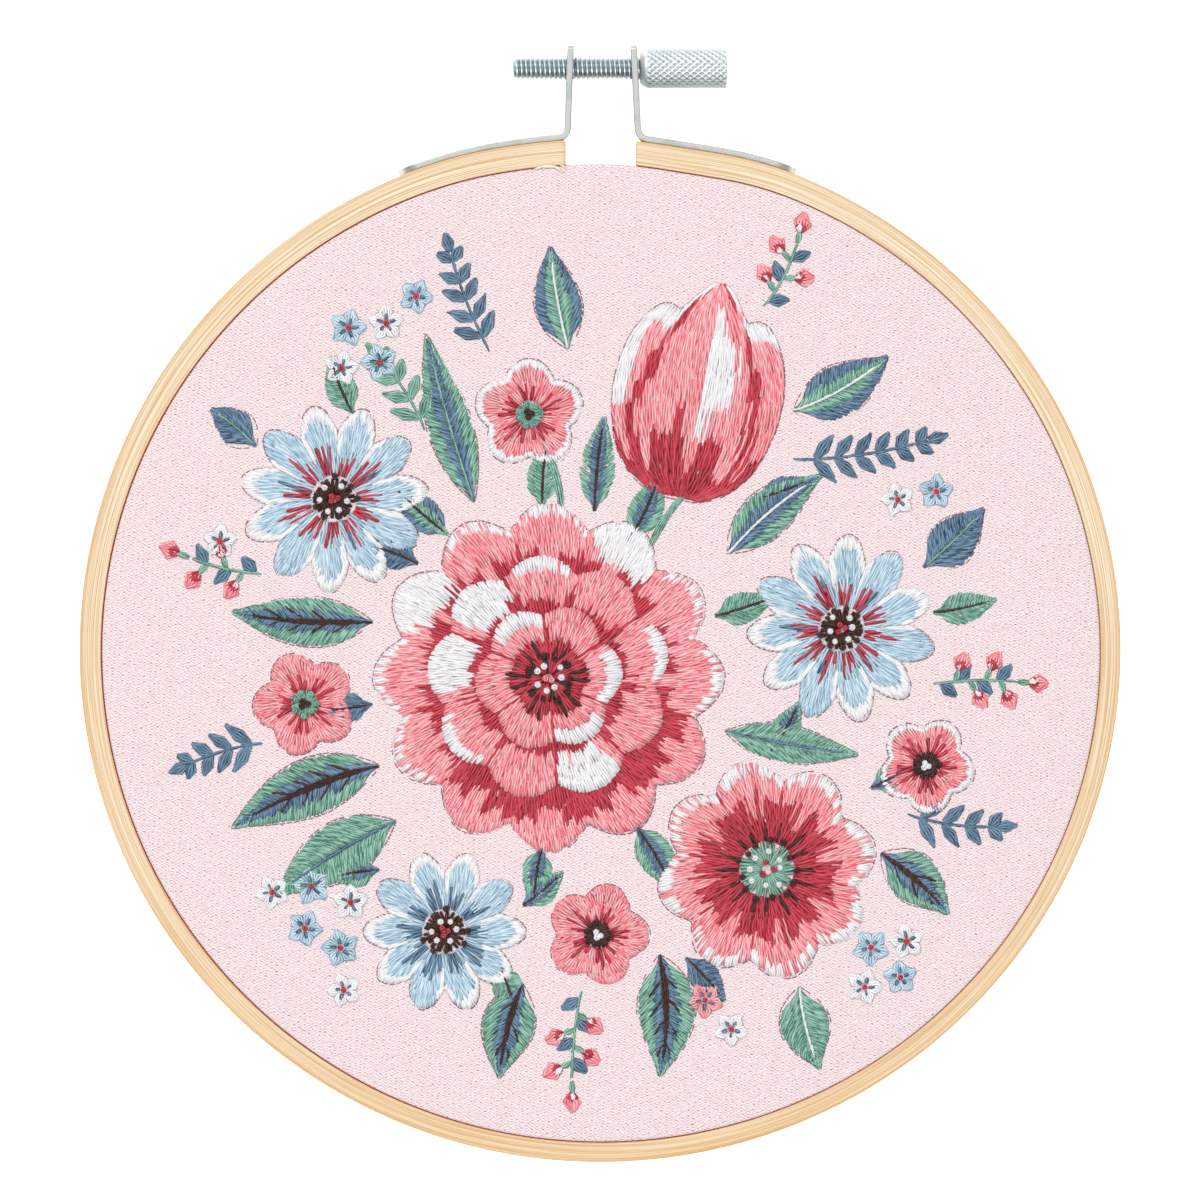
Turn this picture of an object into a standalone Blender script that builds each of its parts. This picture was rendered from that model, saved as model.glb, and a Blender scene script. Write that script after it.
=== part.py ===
"""Embroidered cloth in a bamboo embroidery hoop, lying on its back with the stitched face up.

Lengths are in metres, +Z is up and +Y points at the thumbscrew. The origin is on the surface that
the hoop lies on, under the middle of the whole outline. From the outside in, the pieces are a split
outer ring with two bent steel brackets and a thumbscrew, the cloth, which is pinched between the
rings, and a closed inner ring. Each stitched flower and leaf is a low solid on the cloth.
"""

import math

import bpy
import numpy as np

MM = 0.001

# Outer ring, seen from the front. The screw draws it slightly out of round.
RING_HALF_WIDTH = 80.0 * MM
RING_HALF_HEIGHT = 78.8 * MM
RING_DEPTH = 9.0 * MM
RING_EDGE = 0.5 * MM
RING_STEPS = 96
SPLIT_LEFT = -5.3 * MM
SPLIT_RIGHT = 5.5 * MM

# Its opening. The wall is thickest beside the split, where the brackets hold it.
OPENING_HALF_WIDTH = 76.8 * MM
OPENING_ROUNDNESS = 0.982
OPENING_SHIFT_X = 0.14 * MM
OPENING_SHIFT_Y = -0.37 * MM
CLEARANCE = 0.3 * MM

# Cloth over the inner ring: a flat face and a skirt that is trimmed level at the back.
CLOTH_THICKNESS = 1.0 * MM
CLOTH_FACE = 8.9 * MM
CLOTH_EDGE = 1.2 * MM
CLOTH_TRIM = 0.7 * MM
INNER_RING_WALL = 3.0 * MM
INNER_RING_EDGE = 0.9 * MM

# Brackets: steel strips that follow the outer ring and turn up into two lugs.
STRIP_WIDTH = 7.0 * MM
STRIP_THICKNESS = 1.0 * MM
BEND_RADIUS = 1.7 * MM
BEND_STEPS = 7
TAIL_STEPS = 9
STRIP_END_STEPS = 7
STRIP_ROWS = 4

# Thumbscrew: a threaded rod through both lugs, in a knurled barrel.
SCREW_ABOVE_RING = 10.65 * MM
ROD_RADIUS = 1.75 * MM
ROD_START = -13.4 * MM
ROD_REACH_IN_BARREL = 6.0 * MM
ROD_CHAMFER = 0.35 * MM
HOLE_RADIUS = ROD_RADIUS + 0.35 * MM
BARREL_RADIUS = 3.1 * MM
BARREL_NECK_RADIUS = 2.35 * MM
BARREL_NECK_LENGTH = 1.6 * MM
BARREL_NECK_STEPS = 5
BARREL_START = 6.2 * MM
BARREL_LENGTH = 13.5 * MM
BARREL_CHAMFER = 0.35 * MM
ROUND_STEPS = 24

# Stitched relief.
STITCH_HEIGHT = 0.6 * MM
POINTS_PER_PETAL = 8
LEAF_STEPS = 9
LEAF_FULLNESS = 0.85
TULIP_POINTS = 60
TULIP_TIPS = 3.3
TULIP_TAPER = 0.18

SCREW_Y = RING_HALF_HEIGHT + SCREW_ABOVE_RING
LUG_TOP_Y = SCREW_Y + STRIP_WIDTH / 2
HOOP_Y = (RING_HALF_HEIGHT - LUG_TOP_Y) / 2
MIDDLE_Z = RING_DEPTH / 2

# side is -1 for left and 1 for right, lug_x is its centre at the screw, lean_deg tips it to the split.
BRACKETS = (
    {"name": "bracket_left", "side": -1, "lug_x": -4.64 * MM, "lean_deg": 2.1, "tail_x": -31.0 * MM},
    {"name": "bracket_right", "side": 1, "lug_x": 5.35 * MM, "lean_deg": 3.0, "tail_x": 30.2 * MM},
)

# Flowers: name, centre and radius in mm from the middle of the cloth, petals, depth of the notch
# between petals as a share of the radius, turn in degrees, thread.
FLOWERS = (
    ("dahlia", -8.0, -4.0, 27.0, 12, 0.14, 0.0, "coral"),
    ("cosmos", 25.5, -33.5, 17.0, 8, 0.18, 12.0, "crimson"),
    ("daisy_left", -41.0, 23.5, 14.5, 11, 0.30, 5.0, "light_blue"),
    ("daisy_right", 37.0, 3.5, 14.5, 11, 0.30, 20.0, "light_blue"),
    ("daisy_low", -24.0, -43.0, 12.5, 10, 0.30, 0.0, "light_blue"),
    ("primrose_left", -45.5, -8.0, 8.0, 5, 0.24, 40.0, "coral"),
    ("primrose_top", -11.0, 36.5, 8.5, 5, 0.24, 18.0, "coral"),
    ("primrose_low", -0.5, -43.5, 8.0, 5, 0.24, 0.0, "coral"),
    ("primrose_right", 50.0, -17.5, 7.5, 5, 0.24, 60.0, "coral"),
)

# The tulip is seen from the side: centre, half width, half height, turn, and how deep its tips are cut.
TULIP = {"x": 15.0, "y": 40.0, "half_width": 13.0, "half_height": 17.0, "turn_deg": -12.0, "cut": 0.26}

# Leaves: base in mm from the middle of the cloth, heading of the midrib, length, half width, bend.
LEAVES = (
    (-19.5, 23.0, 106.0, 27.0, 3.4, -6.0, "green"),
    (-35.0, 4.6, 176.0, 22.0, 3.8, -14.0, "green"),
    (-34.0, -17.5, 203.0, 25.0, 4.4, 20.0, "green"),
    (-31.5, -26.0, 212.0, 22.0, 4.4, 14.0, "green"),
    (19.5, 15.0, 40.0, 19.0, 3.6, -20.0, "green"),
    (-12.0, -51.0, 256.0, 15.0, 4.0, 18.0, "green"),
    (9.0, -46.5, 270.0, 19.0, 4.4, -26.0, "green"),
    (19.0, -12.2, 350.0, 21.0, 2.9, 6.0, "green"),
    (30.5, -51.5, 284.0, 13.0, 3.8, 20.0, "green"),
    (43.0, -31.0, 318.0, 14.0, 3.8, -20.0, "green"),
    (29.5, 37.0, 30.0, 17.0, 4.0, 24.0, "slate_blue"),
    (49.5, 13.0, 44.0, 13.0, 3.6, 12.0, "slate_blue"),
    (-5.0, 46.5, 100.0, 16.0, 3.6, -10.0, "slate_blue"),
    (-53.0, 31.5, 140.0, 9.0, 2.8, 14.0, "slate_blue"),
)


def linear(hex_colour):
    """The linear red, green, blue and alpha of an sRGB hex colour."""
    values = [int(hex_colour[i : i + 2], 16) / 255 for i in (1, 3, 5)]
    return [*(v / 12.92 if v <= 0.04045 else ((v + 0.055) / 1.055) ** 2.4 for v in values), 1.0]


def make_material(name, hex_colour, roughness, metallic=0.0):
    material = bpy.data.materials.new(name)
    material.use_nodes = True
    shader = material.node_tree.nodes["Principled BSDF"]
    shader.inputs["Base Color"].default_value = linear(hex_colour)
    shader.inputs["Roughness"].default_value = roughness
    shader.inputs["Metallic"].default_value = metallic
    material.diffuse_color = linear(hex_colour)
    return material


def make_collection(name):
    collection = bpy.data.collections.new(name)
    bpy.context.scene.collection.children.link(collection)
    return collection


def place(data, name, collection, material=None, location=(0, 0, 0), rotation=(0, 0, 0)):
    """Puts a mesh or curve in the scene as a named object."""
    piece = bpy.data.objects.new(name, data)
    piece.location = location
    piece.rotation_euler = rotation
    if material:
        data.materials.append(material)
    collection.objects.link(piece)
    return piece


def file_away(piece, name, collection):
    """Names a newly added primitive and moves it to its collection."""
    for old in list(piece.users_collection):
        old.objects.unlink(piece)
    collection.objects.link(piece)
    piece.name = piece.data.name = name
    return piece


def plate(name, outline, low, high, edge, material, location):
    """A flat piece from low to high: a filled outline with rounded edges."""
    curve = bpy.data.curves.new(name, "CURVE")
    curve.dimensions = "2D"
    curve.fill_mode = "BOTH"
    curve.extrude = (high - low) / 2 - edge
    curve.bevel_depth = edge
    curve.bevel_resolution = 1
    curve.offset = -edge
    spline = curve.splines.new("POLY")
    spline.points.add(len(outline) - 1)
    rows = np.zeros((len(outline), 4))
    rows[:, :2] = outline
    rows[:, 3] = 1.0
    spline.points.foreach_set("co", rows.ravel())
    spline.use_cyclic_u = True
    return place(curve, name, parts, material, (*location, (low + high) / 2))


def turned(name, profile, steps, material, **placing):
    """A turned piece. The profile's points are (radius, height), from the axis down the outer side."""
    mesh = bpy.data.meshes.new(name)
    edges = [(i, i + 1) for i in range(len(profile) - 1)]
    mesh.from_pydata([(radius, 0, height) for radius, height in profile], edges, [])
    piece = place(mesh, name, parts, material, **placing)
    screw = piece.modifiers.new("turn", "SCREW")
    screw.steps = screw.render_steps = steps
    screw.use_merge_vertices = True
    screw.merge_threshold = 0.00001
    screw.use_smooth_shade = True
    return piece


def arc(centre_x, centre_y, half_width, half_height, start, end, steps):
    """Points along an ellipse from one angle to another, in radians from +X."""
    angles = np.linspace(start, end, steps)
    return np.column_stack(
        [centre_x + half_width * np.cos(angles), centre_y + half_height * np.sin(angles)]
    )


def rounded_corner(radius, height, size, start_deg, steps=3):
    """Profile points round a corner centred at radius and height, turning clockwise by 90 degrees."""
    angles = np.radians(start_deg - np.linspace(0, 90, steps))
    return [(radius + size * math.cos(a), height + size * math.sin(a)) for a in angles]


def make_outer_ring():
    """The split ring: an outer and an inner arc between the two straight cut ends."""
    opening_height = OPENING_HALF_WIDTH * OPENING_ROUNDNESS

    def split_angles(half_width, shift):
        left = math.acos((SPLIT_LEFT - shift) / half_width)
        right = math.acos((SPLIT_RIGHT - shift) / half_width)
        return left, right + 2 * math.pi

    outer_angles = split_angles(RING_HALF_WIDTH, 0)
    outside = arc(0, 0, RING_HALF_WIDTH, RING_HALF_HEIGHT, *outer_angles, RING_STEPS)
    inside = arc(
        OPENING_SHIFT_X,
        OPENING_SHIFT_Y,
        OPENING_HALF_WIDTH,
        opening_height,
        *split_angles(OPENING_HALF_WIDTH, OPENING_SHIFT_X),
        RING_STEPS,
    )
    outline = np.concatenate([outside, inside[::-1]])
    plate("outer_ring", outline, 0, RING_DEPTH, RING_EDGE, bamboo, (0, HOOP_Y))


def make_inner_ring(cloth_x, cloth_y):
    """The closed ring under the cloth, with rounded edges so that the cloth isn't cut."""
    outer = OPENING_HALF_WIDTH - 2 * CLEARANCE - CLOTH_THICKNESS
    inner = outer - INNER_RING_WALL
    top = CLOTH_FACE - CLOTH_THICKNESS - CLEARANCE
    edge = INNER_RING_EDGE
    profile = [
        *rounded_corner(outer - edge, top - edge, edge, 90),
        *rounded_corner(outer - edge, edge, edge, 0),
        *rounded_corner(inner + edge, edge, edge, 270),
        *rounded_corner(inner + edge, top - edge, edge, 180),
    ]
    ring = turned("inner_ring", [*profile, profile[0]], RING_STEPS, bamboo, location=(cloth_x, cloth_y, 0))
    ring.scale.y = OPENING_ROUNDNESS


def make_cloth(cloth_x, cloth_y):
    """The stretched cloth: a flat face that turns over the inner ring and goes down between the rings."""
    outer = OPENING_HALF_WIDTH - CLEARANCE
    inner = outer - CLOTH_THICKNESS
    under = CLOTH_FACE - CLOTH_THICKNESS
    edge = CLOTH_EDGE
    fold = edge - CLOTH_THICKNESS
    profile = [
        (0, CLOTH_FACE),
        *rounded_corner(outer - edge, CLOTH_FACE - edge, edge, 90, 4),
        (outer, CLOTH_TRIM),
        (inner, CLOTH_TRIM),
        (inner, under - fold),
        (inner - fold, under),
        (0, under),
    ]
    cloth = turned("cloth", profile, RING_STEPS, cotton, location=(cloth_x, cloth_y, 0))
    cloth.scale.y = OPENING_ROUNDNESS


def bracket_path(side, lug_x, lean_deg, tail_x):
    """The strip's centreline from the front: down the lug, round the bend, along the ring to the tail."""
    half_width = RING_HALF_WIDTH + CLEARANCE + STRIP_THICKNESS / 2
    half_height = RING_HALF_HEIGHT + CLEARANCE + STRIP_THICKNESS / 2
    lean = math.tan(math.radians(lean_deg))

    def on_lug(y):
        return np.array([lug_x - side * lean * (y - SCREW_Y), y])

    foot = on_lug(half_height)
    foot_angle = math.acos(foot[0] / half_width)
    foot = on_lug(half_height * math.sin(foot_angle))
    up_the_lug = on_lug(SCREW_Y) - foot
    bend_start = foot + BEND_RADIUS * up_the_lug / np.linalg.norm(up_the_lug)
    bend_end_angle = foot_angle - side * BEND_RADIUS / half_width
    bend_end = arc(0, 0, half_width, half_height, bend_end_angle, bend_end_angle, 1)[0]
    t = np.linspace(0, 1, BEND_STEPS)[:, None]
    bend = (1 - t) ** 2 * bend_start + 2 * t * (1 - t) * foot + t**2 * bend_end
    tail_angle = math.acos(tail_x / half_width)
    tail = arc(0, 0, half_width, half_height, bend_end_angle, tail_angle, TAIL_STEPS)
    return np.concatenate([[on_lug(LUG_TOP_Y)], bend, tail[1:]])


def make_bracket(name, side, lug_x, lean_deg, tail_x):
    """A strip with round ends: a grid laid along the path, given its thickness and the screw's hole."""
    path = bracket_path(side, lug_x, lean_deg, tail_x)
    along = np.concatenate([[0], np.cumsum(np.linalg.norm(np.diff(path, axis=0), axis=1))])
    length = along[-1]
    end = STRIP_WIDTH / 2
    round_end = end * (1 - np.cos(np.linspace(0, math.pi / 2, STRIP_END_STEPS)))
    between = along[(along > end + CLEARANCE) & (along < length - end - CLEARANCE)]
    stations = np.concatenate([round_end, between, length - round_end[::-1]])
    to_end = np.minimum(np.minimum(stations, length - stations), end)
    half_widths = np.sqrt(np.maximum(end**2 - (end - to_end) ** 2, 0))

    bpy.ops.mesh.primitive_grid_add(x_subdivisions=len(stations) - 1, y_subdivisions=STRIP_ROWS, size=2)
    strip = file_away(bpy.context.object, name, parts)
    strip.data.materials.append(steel)
    flat = np.empty(len(strip.data.vertices) * 3, np.float32)
    strip.data.vertices.foreach_get("co", flat)
    flat = flat.reshape(-1, 3)
    station = np.rint((flat[:, 0] + 1) / 2 * (len(stations) - 1)).astype(int)
    bent = np.column_stack(
        [
            np.interp(stations[station], along, path[:, 0]),
            np.interp(stations[station], along, path[:, 1]),
            half_widths[station] * flat[:, 1],
        ]
    )
    strip.data.vertices.foreach_set("co", bent.astype(np.float32).ravel())
    strip.location = (0, HOOP_Y, MIDDLE_Z)

    weld = strip.modifiers.new("close the round ends", "WELD")
    weld.merge_threshold = 0.00001
    thickness = strip.modifiers.new("thickness", "SOLIDIFY")
    thickness.thickness = STRIP_THICKNESS
    thickness.offset = 0
    thickness.use_even_offset = True
    hole = strip.modifiers.new("screw hole", "BOOLEAN")
    hole.object = make_hole_cutter(name, lug_x)


def make_hole_cutter(name, lug_x):
    """The cylinder that drills a lug, a clearance wider than the rod."""
    bpy.ops.mesh.primitive_cylinder_add(
        vertices=ROUND_STEPS,
        radius=HOLE_RADIUS,
        depth=4 * STRIP_THICKNESS,
        location=(lug_x, HOOP_Y + SCREW_Y, MIDDLE_Z),
        rotation=(0, math.pi / 2, 0),
    )
    cutter = file_away(bpy.context.object, name + "_hole", cutters)
    cutter.hide_render = True
    cutter.display_type = "WIRE"
    return cutter


def make_thumbscrew():
    """Rod and barrel, both turned about the screw's axis, which runs along +X."""
    axis = {"location": (0, HOOP_Y + SCREW_Y, MIDDLE_Z), "rotation": (0, math.pi / 2, 0)}
    rod_end = BARREL_START + ROD_REACH_IN_BARREL
    rod = [
        (0, rod_end),
        (ROD_RADIUS - ROD_CHAMFER, rod_end),
        (ROD_RADIUS, rod_end - ROD_CHAMFER),
        (ROD_RADIUS, ROD_START + ROD_CHAMFER),
        (ROD_RADIUS - ROD_CHAMFER, ROD_START),
        (0, ROD_START),
    ]
    turned("screw_rod", rod, ROUND_STEPS, steel, **axis)

    barrel_end = BARREL_START + BARREL_LENGTH
    shoulder = BARREL_START + BARREL_NECK_LENGTH
    neck = np.linspace(0, 1, BARREL_NECK_STEPS)[1:]
    swell = BARREL_RADIUS - BARREL_NECK_RADIUS
    bore_end = rod_end + CLEARANCE
    barrel = [
        (0, barrel_end),
        (BARREL_RADIUS - BARREL_CHAMFER, barrel_end),
        (BARREL_RADIUS, barrel_end - BARREL_CHAMFER),
        (BARREL_RADIUS, shoulder),
        *((BARREL_RADIUS - swell * t**2, shoulder - BARREL_NECK_LENGTH * t) for t in neck),
        (HOLE_RADIUS, BARREL_START),
        (HOLE_RADIUS, bore_end),
        (0, bore_end),
    ]
    turned("thumb_barrel", barrel, ROUND_STEPS, steel, **axis)


def flower_outline(radius, petals, notch, turn_deg):
    """A scalloped outline: full radius at each petal's tip, less the notch between two petals."""
    angles = np.linspace(0, 2 * math.pi, petals * POINTS_PER_PETAL, endpoint=False)
    reach = radius * (1 - notch * (1 - np.abs(np.cos(petals * angles / 2))))
    turned_angles = angles + math.radians(turn_deg)
    return np.column_stack([reach * np.cos(turned_angles), reach * np.sin(turned_angles)])


def leaf_outline(heading_deg, length, half_width, bend_deg):
    """A leaf with two pointed ends whose midrib turns evenly by the bend."""
    t = np.linspace(0, 1, LEAF_STEPS)
    heading = np.radians(heading_deg + bend_deg * (t - 0.5))
    steps = length / (LEAF_STEPS - 1) * np.column_stack([np.cos(heading), np.sin(heading)])
    midrib = np.concatenate([[[0, 0]], np.cumsum((steps[1:] + steps[:-1]) / 2, axis=0)])
    reach = half_width * np.sin(math.pi * t**LEAF_FULLNESS)
    side = reach[:, None] * np.column_stack([-np.sin(heading), np.cos(heading)])
    return np.concatenate([midrib - side, (midrib + side)[-2:0:-1]])


def tulip_outline(half_width, half_height, turn_deg, cut):
    """An egg, wider below its middle, whose upper edge is cut into three petal tips."""
    angles = np.linspace(0, 2 * math.pi, TULIP_POINTS, endpoint=False)
    upper = np.maximum(np.sin(angles), 0) ** 2
    valleys = 1 - np.abs(np.cos(TULIP_TIPS * (angles - math.pi / 2)))
    across = half_width * np.cos(angles) * (1 - TULIP_TAPER * np.sin(angles) ** 3)
    up = half_height * (np.sin(angles) - cut * upper * valleys)
    cos, sin = math.cos(math.radians(turn_deg)), math.sin(math.radians(turn_deg))
    return np.column_stack([across * cos - up * sin, across * sin + up * cos])


def make_stitching(cloth_x, cloth_y):
    """Each flower and leaf as a low plate, a clearance above the cloth."""
    low = CLOTH_FACE + CLEARANCE

    def stitched(name, outline, x, y, thread):
        where = (cloth_x + x * MM, cloth_y + y * MM)
        plate(name, outline * MM, low, low + STITCH_HEIGHT, 0, threads[thread], where)

    for name, x, y, radius, petals, notch, turn_deg, thread in FLOWERS:
        stitched(name, flower_outline(radius, petals, notch, turn_deg), x, y, thread)
    egg = tulip_outline(TULIP["half_width"], TULIP["half_height"], TULIP["turn_deg"], TULIP["cut"])
    stitched("tulip", egg, TULIP["x"], TULIP["y"], "coral")
    for number, (x, y, heading_deg, length, half_width, bend_deg, thread) in enumerate(LEAVES, 1):
        stitched(f"leaf_{number}", leaf_outline(heading_deg, length, half_width, bend_deg), x, y, thread)


for leftover in list(bpy.data.objects):
    bpy.data.objects.remove(leftover)

parts = make_collection("embroidery_hoop")
cutters = make_collection("cutters")

bamboo = make_material("bamboo", "#EFD3A0", 0.55)
steel = make_material("zinc_plated_steel", "#C3CBCE", 0.35, 1.0)
cotton = make_material("pink_cotton", "#F6DEE0", 0.9)
threads = {
    "coral": make_material("coral_thread", "#F58A93", 0.6),
    "crimson": make_material("crimson_thread", "#B4384F", 0.6),
    "light_blue": make_material("light_blue_thread", "#A9CEDF", 0.6),
    "slate_blue": make_material("slate_blue_thread", "#56799B", 0.6),
    "green": make_material("green_thread", "#5F9F81", 0.6),
}

CLOTH_X = OPENING_SHIFT_X
CLOTH_Y = HOOP_Y + OPENING_SHIFT_Y
make_outer_ring()
make_inner_ring(CLOTH_X, CLOTH_Y)
make_cloth(CLOTH_X, CLOTH_Y)
for row in BRACKETS:
    make_bracket(**row)
make_thumbscrew()
make_stitching(CLOTH_X, CLOTH_Y)
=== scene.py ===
# %% [markdown]
# # Embroidery stretched in a bamboo hoop
# The real object is a piece of pale pink cotton held drum-tight between two bamboo rings. The outer
# ring is split at the top, where two zinc-plated steel strips carry a thumbscrew that draws it shut.
# The cloth is worked with flowers and leaves in stranded cotton thread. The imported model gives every
# size. This script dresses it: wood grain, woven cloth, knurled steel and about 20,000 stitches.

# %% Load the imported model
import math

import bpy
import numpy as np
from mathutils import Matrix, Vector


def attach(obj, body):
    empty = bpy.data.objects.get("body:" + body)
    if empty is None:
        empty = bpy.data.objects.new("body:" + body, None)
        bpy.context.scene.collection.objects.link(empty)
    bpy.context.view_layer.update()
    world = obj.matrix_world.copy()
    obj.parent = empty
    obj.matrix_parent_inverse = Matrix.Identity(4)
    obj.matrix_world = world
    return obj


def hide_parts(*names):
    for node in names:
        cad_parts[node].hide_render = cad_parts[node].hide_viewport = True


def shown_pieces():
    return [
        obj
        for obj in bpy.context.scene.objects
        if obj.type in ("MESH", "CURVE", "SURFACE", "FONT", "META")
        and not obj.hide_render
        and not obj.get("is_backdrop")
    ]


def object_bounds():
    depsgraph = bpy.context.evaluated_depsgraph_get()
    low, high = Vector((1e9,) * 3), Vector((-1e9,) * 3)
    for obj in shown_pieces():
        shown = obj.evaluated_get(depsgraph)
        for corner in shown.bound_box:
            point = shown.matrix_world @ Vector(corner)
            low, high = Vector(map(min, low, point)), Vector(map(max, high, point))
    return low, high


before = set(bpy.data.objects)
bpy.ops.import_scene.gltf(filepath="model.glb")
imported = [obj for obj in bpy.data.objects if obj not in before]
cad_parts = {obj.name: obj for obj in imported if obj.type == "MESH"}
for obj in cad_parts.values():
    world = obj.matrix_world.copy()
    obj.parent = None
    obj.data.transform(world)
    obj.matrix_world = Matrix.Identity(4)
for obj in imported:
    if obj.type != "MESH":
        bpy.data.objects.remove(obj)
cad_box = [[float(c) for c in corner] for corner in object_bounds()]
print("nodes", len(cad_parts), "box in mm", [[round(c * 1000, 1) for c in p] for p in cad_box])

# %% [markdown]
# Everything below is worked out in millimetres, because that is how a hoop, a thread and a weave are
# measured. Only the mesh maker and the camera turn them into Blender's metres. These sizes are the
# part's own, so each piece sits where its solid is.

# %% Sizes of the hoop, in mm
MM = 0.001
HOOP_Y = -7.075  # middle of the outer ring
RING_HALF_WIDTH, RING_HALF_HEIGHT, RING_DEPTH = 80.0, 78.8, 9.0
SPLIT_LEFT, SPLIT_RIGHT = -5.3, 5.5
OPENING_HALF_WIDTH, ROUNDNESS = 76.8, 0.982  # the hoop is a little wider than it is high
CLOTH_X, CLOTH_Y = 0.14, HOOP_Y - 0.37
CLOTH_RADIUS, CLOTH_FACE, CLOTH_EDGE, CLOTH_TRIM = 76.74, 8.92, 0.46, 0.7
SCREW_Y, SCREW_Z = HOOP_Y + 89.45, 4.5
print("cloth middle", (CLOTH_X, CLOTH_Y), "screw axis at y", round(SCREW_Y, 2))

# %% [markdown]
# ## Camera, light and floor
# The photograph looks straight down with a long lens, on plain white. A long lens two metres up keeps
# the ring's walls out of sight, as there. The frame is 184.4 mm wide at the cloth.

# %% Camera
FRAME_WIDTH, CAMERA_HEIGHT, SENSOR = 184.4, 2000.0, 36.0
camera_data = bpy.data.cameras.new("camera")
camera_data.sensor_width = SENSOR
camera_data.lens = SENSOR * (CAMERA_HEIGHT - CLOTH_FACE) / FRAME_WIDTH
camera_data.clip_end = 100
camera = bpy.data.objects.new("camera", camera_data)
camera.location = (0.0, 0.5 * MM, CAMERA_HEIGHT * MM)
bpy.context.scene.collection.objects.link(camera)
bpy.context.scene.camera = camera
bpy.context.scene.view_settings.view_transform = "Standard"
print("lens", round(camera_data.lens), "mm")


# %% Colours are given as sRGB hex values and turned to linear here
def linear(hex_colour):
    """The linear red, green, blue and alpha of an sRGB hex colour."""
    values = [int(hex_colour[i : i + 2], 16) / 255 for i in (1, 3, 5)]
    return [*(v / 12.92 if v <= 0.04045 else ((v + 0.055) / 1.055) ** 2.4 for v in values), 1.0]


print("pale pink", [round(v, 3) for v in linear("#F3DFE1")])

# %% [markdown]
# Soft studio light: a pale ceiling that falls off to a dull room, one softbox behind the hoop's top
# and a narrow one in front. The ceiling lights the cloth evenly. The dull room, which comes up higher
# on the near side, is what draws the dark bands along the round steel rod.


# %% One small function adds a shader node
def plug(tree, to, **inputs):
    """Fills a node's inputs. Each is a value, a hex colour, an output, or a node, which stands for
    its first output in use. Inputs are named as Blender names them, with _ for spaces, or i0, i1 and
    so on by their place."""
    for key, value in inputs.items():
        place = int(key[1:]) if key[0] == "i" and key[1:].isdigit() else key.replace("_", " ")
        if isinstance(value, bpy.types.Node):
            value = next(output for output in value.outputs if output.enabled)
        if isinstance(value, bpy.types.NodeSocket):
            tree.links.new(value, to.inputs[place])
        else:
            to.inputs[place].default_value = linear(value) if isinstance(value, str) else value


def node(tree, kind, settings=None, **inputs):
    """Adds a node, sets its properties, plugs its inputs and gives it back."""
    made = tree.nodes.new("ShaderNode" + kind)
    for key, value in (settings or {}).items():
        if key == "steps":  # a colour ramp's positions, rising, and their hex colours
            for _ in value[2:]:
                made.color_ramp.elements.new(1.0)
            for element, (position, colour) in zip(made.color_ramp.elements, value):
                element.position, element.color = position, linear(colour)
        else:
            setattr(made, key, value)
    plug(tree, made, **inputs)
    return made


RGBA, FLAT = {"data_type": "RGBA"}, {"noise_dimensions": "2D"}
TIMES, PLUS, TIMES_PLUS, COSINE = ({"operation": o} for o in ("MULTIPLY", "ADD", "MULTIPLY_ADD", "COSINE"))

# %% Light
world = bpy.data.worlds.new("studio")
bpy.context.scene.world = world
world.use_nodes = True
room = world.node_tree
gaze = node(room, "TexCoord").outputs["Generated"]
height = node(room, "VectorMath", {"operation": "DOT_PRODUCT"}, i0=gaze, i1=(0, 0.6, 0.8))
level = node(room, "MapRange", Value=height, i1=-1.0, i2=1.0)
falloff = {"steps": (
    (0.1, "#76848A"), (0.3, "#98A3A8"), (0.5, "#C4CBCE"), (0.75, "#D0D5D8"), (0.92, "#F4F6F8"),
)}
ceiling = node(room, "ValToRGB", falloff, Fac=level)
plug(room, room.nodes["Background"], Color=ceiling, Strength=0.86)


def hang_softbox(name, tilt_deg, turn_deg, distance, width, height, watts):
    """A rectangular light that faces the hoop, tilted from straight above towards turn_deg. Its place
    is the distance times (sin tilt cos turn, sin tilt sin turn, cos tilt), in metres."""
    data = bpy.data.lights.new(name, "AREA")
    data.shape, data.size, data.size_y, data.energy = "RECTANGLE", width, height, watts
    box = bpy.data.objects.new(name, data)
    tilt, turn = math.radians(tilt_deg), math.radians(turn_deg)
    box.rotation_euler = (0, tilt, turn)
    out = np.array([math.sin(tilt) * math.cos(turn), math.sin(tilt) * math.sin(turn), math.cos(tilt)])
    box.location = out * distance
    bpy.context.scene.collection.objects.link(box)


hang_softbox("key", tilt_deg=42, turn_deg=118, distance=2.6, width=1.2, height=1.0, watts=21.6)
hang_softbox("front", tilt_deg=26, turn_deg=-90, distance=2.6, width=1.6, height=0.8, watts=18.2)


# %% [markdown]
# ## Helpers for all shapes
# Most shapes here start as lines in plan, so five short functions do what all such lines need.


# %% Lines in plan
def circle(angle):
    """The (cos, sin) of each angle."""
    return np.stack([np.cos(angle), np.sin(angle)], axis=-1)


def left_of(heading):
    """A direction in plan, turned a quarter turn anticlockwise."""
    return np.stack([-heading[..., 1], heading[..., 0]], axis=-1)


def lengths_along(points):
    """The distance from the first point to each point, along the line through them."""
    steps = np.linalg.norm(np.diff(points, axis=0), axis=1)
    return np.concatenate([[0.0], np.cumsum(steps)])


def points_at(far, line):
    """The points of a line that lie at these distances from its start."""
    length = lengths_along(line)
    return np.stack([np.interp(far, length, line[:, i]) for i in (0, 1)], axis=-1)


def raised(plan, height):
    """Points in plan with their heights as a third number."""
    return np.concatenate([plan, height[..., None]], axis=-1)


print("a quarter turn left of east is", left_of(circle(np.array(0.0))).round(2))

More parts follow.
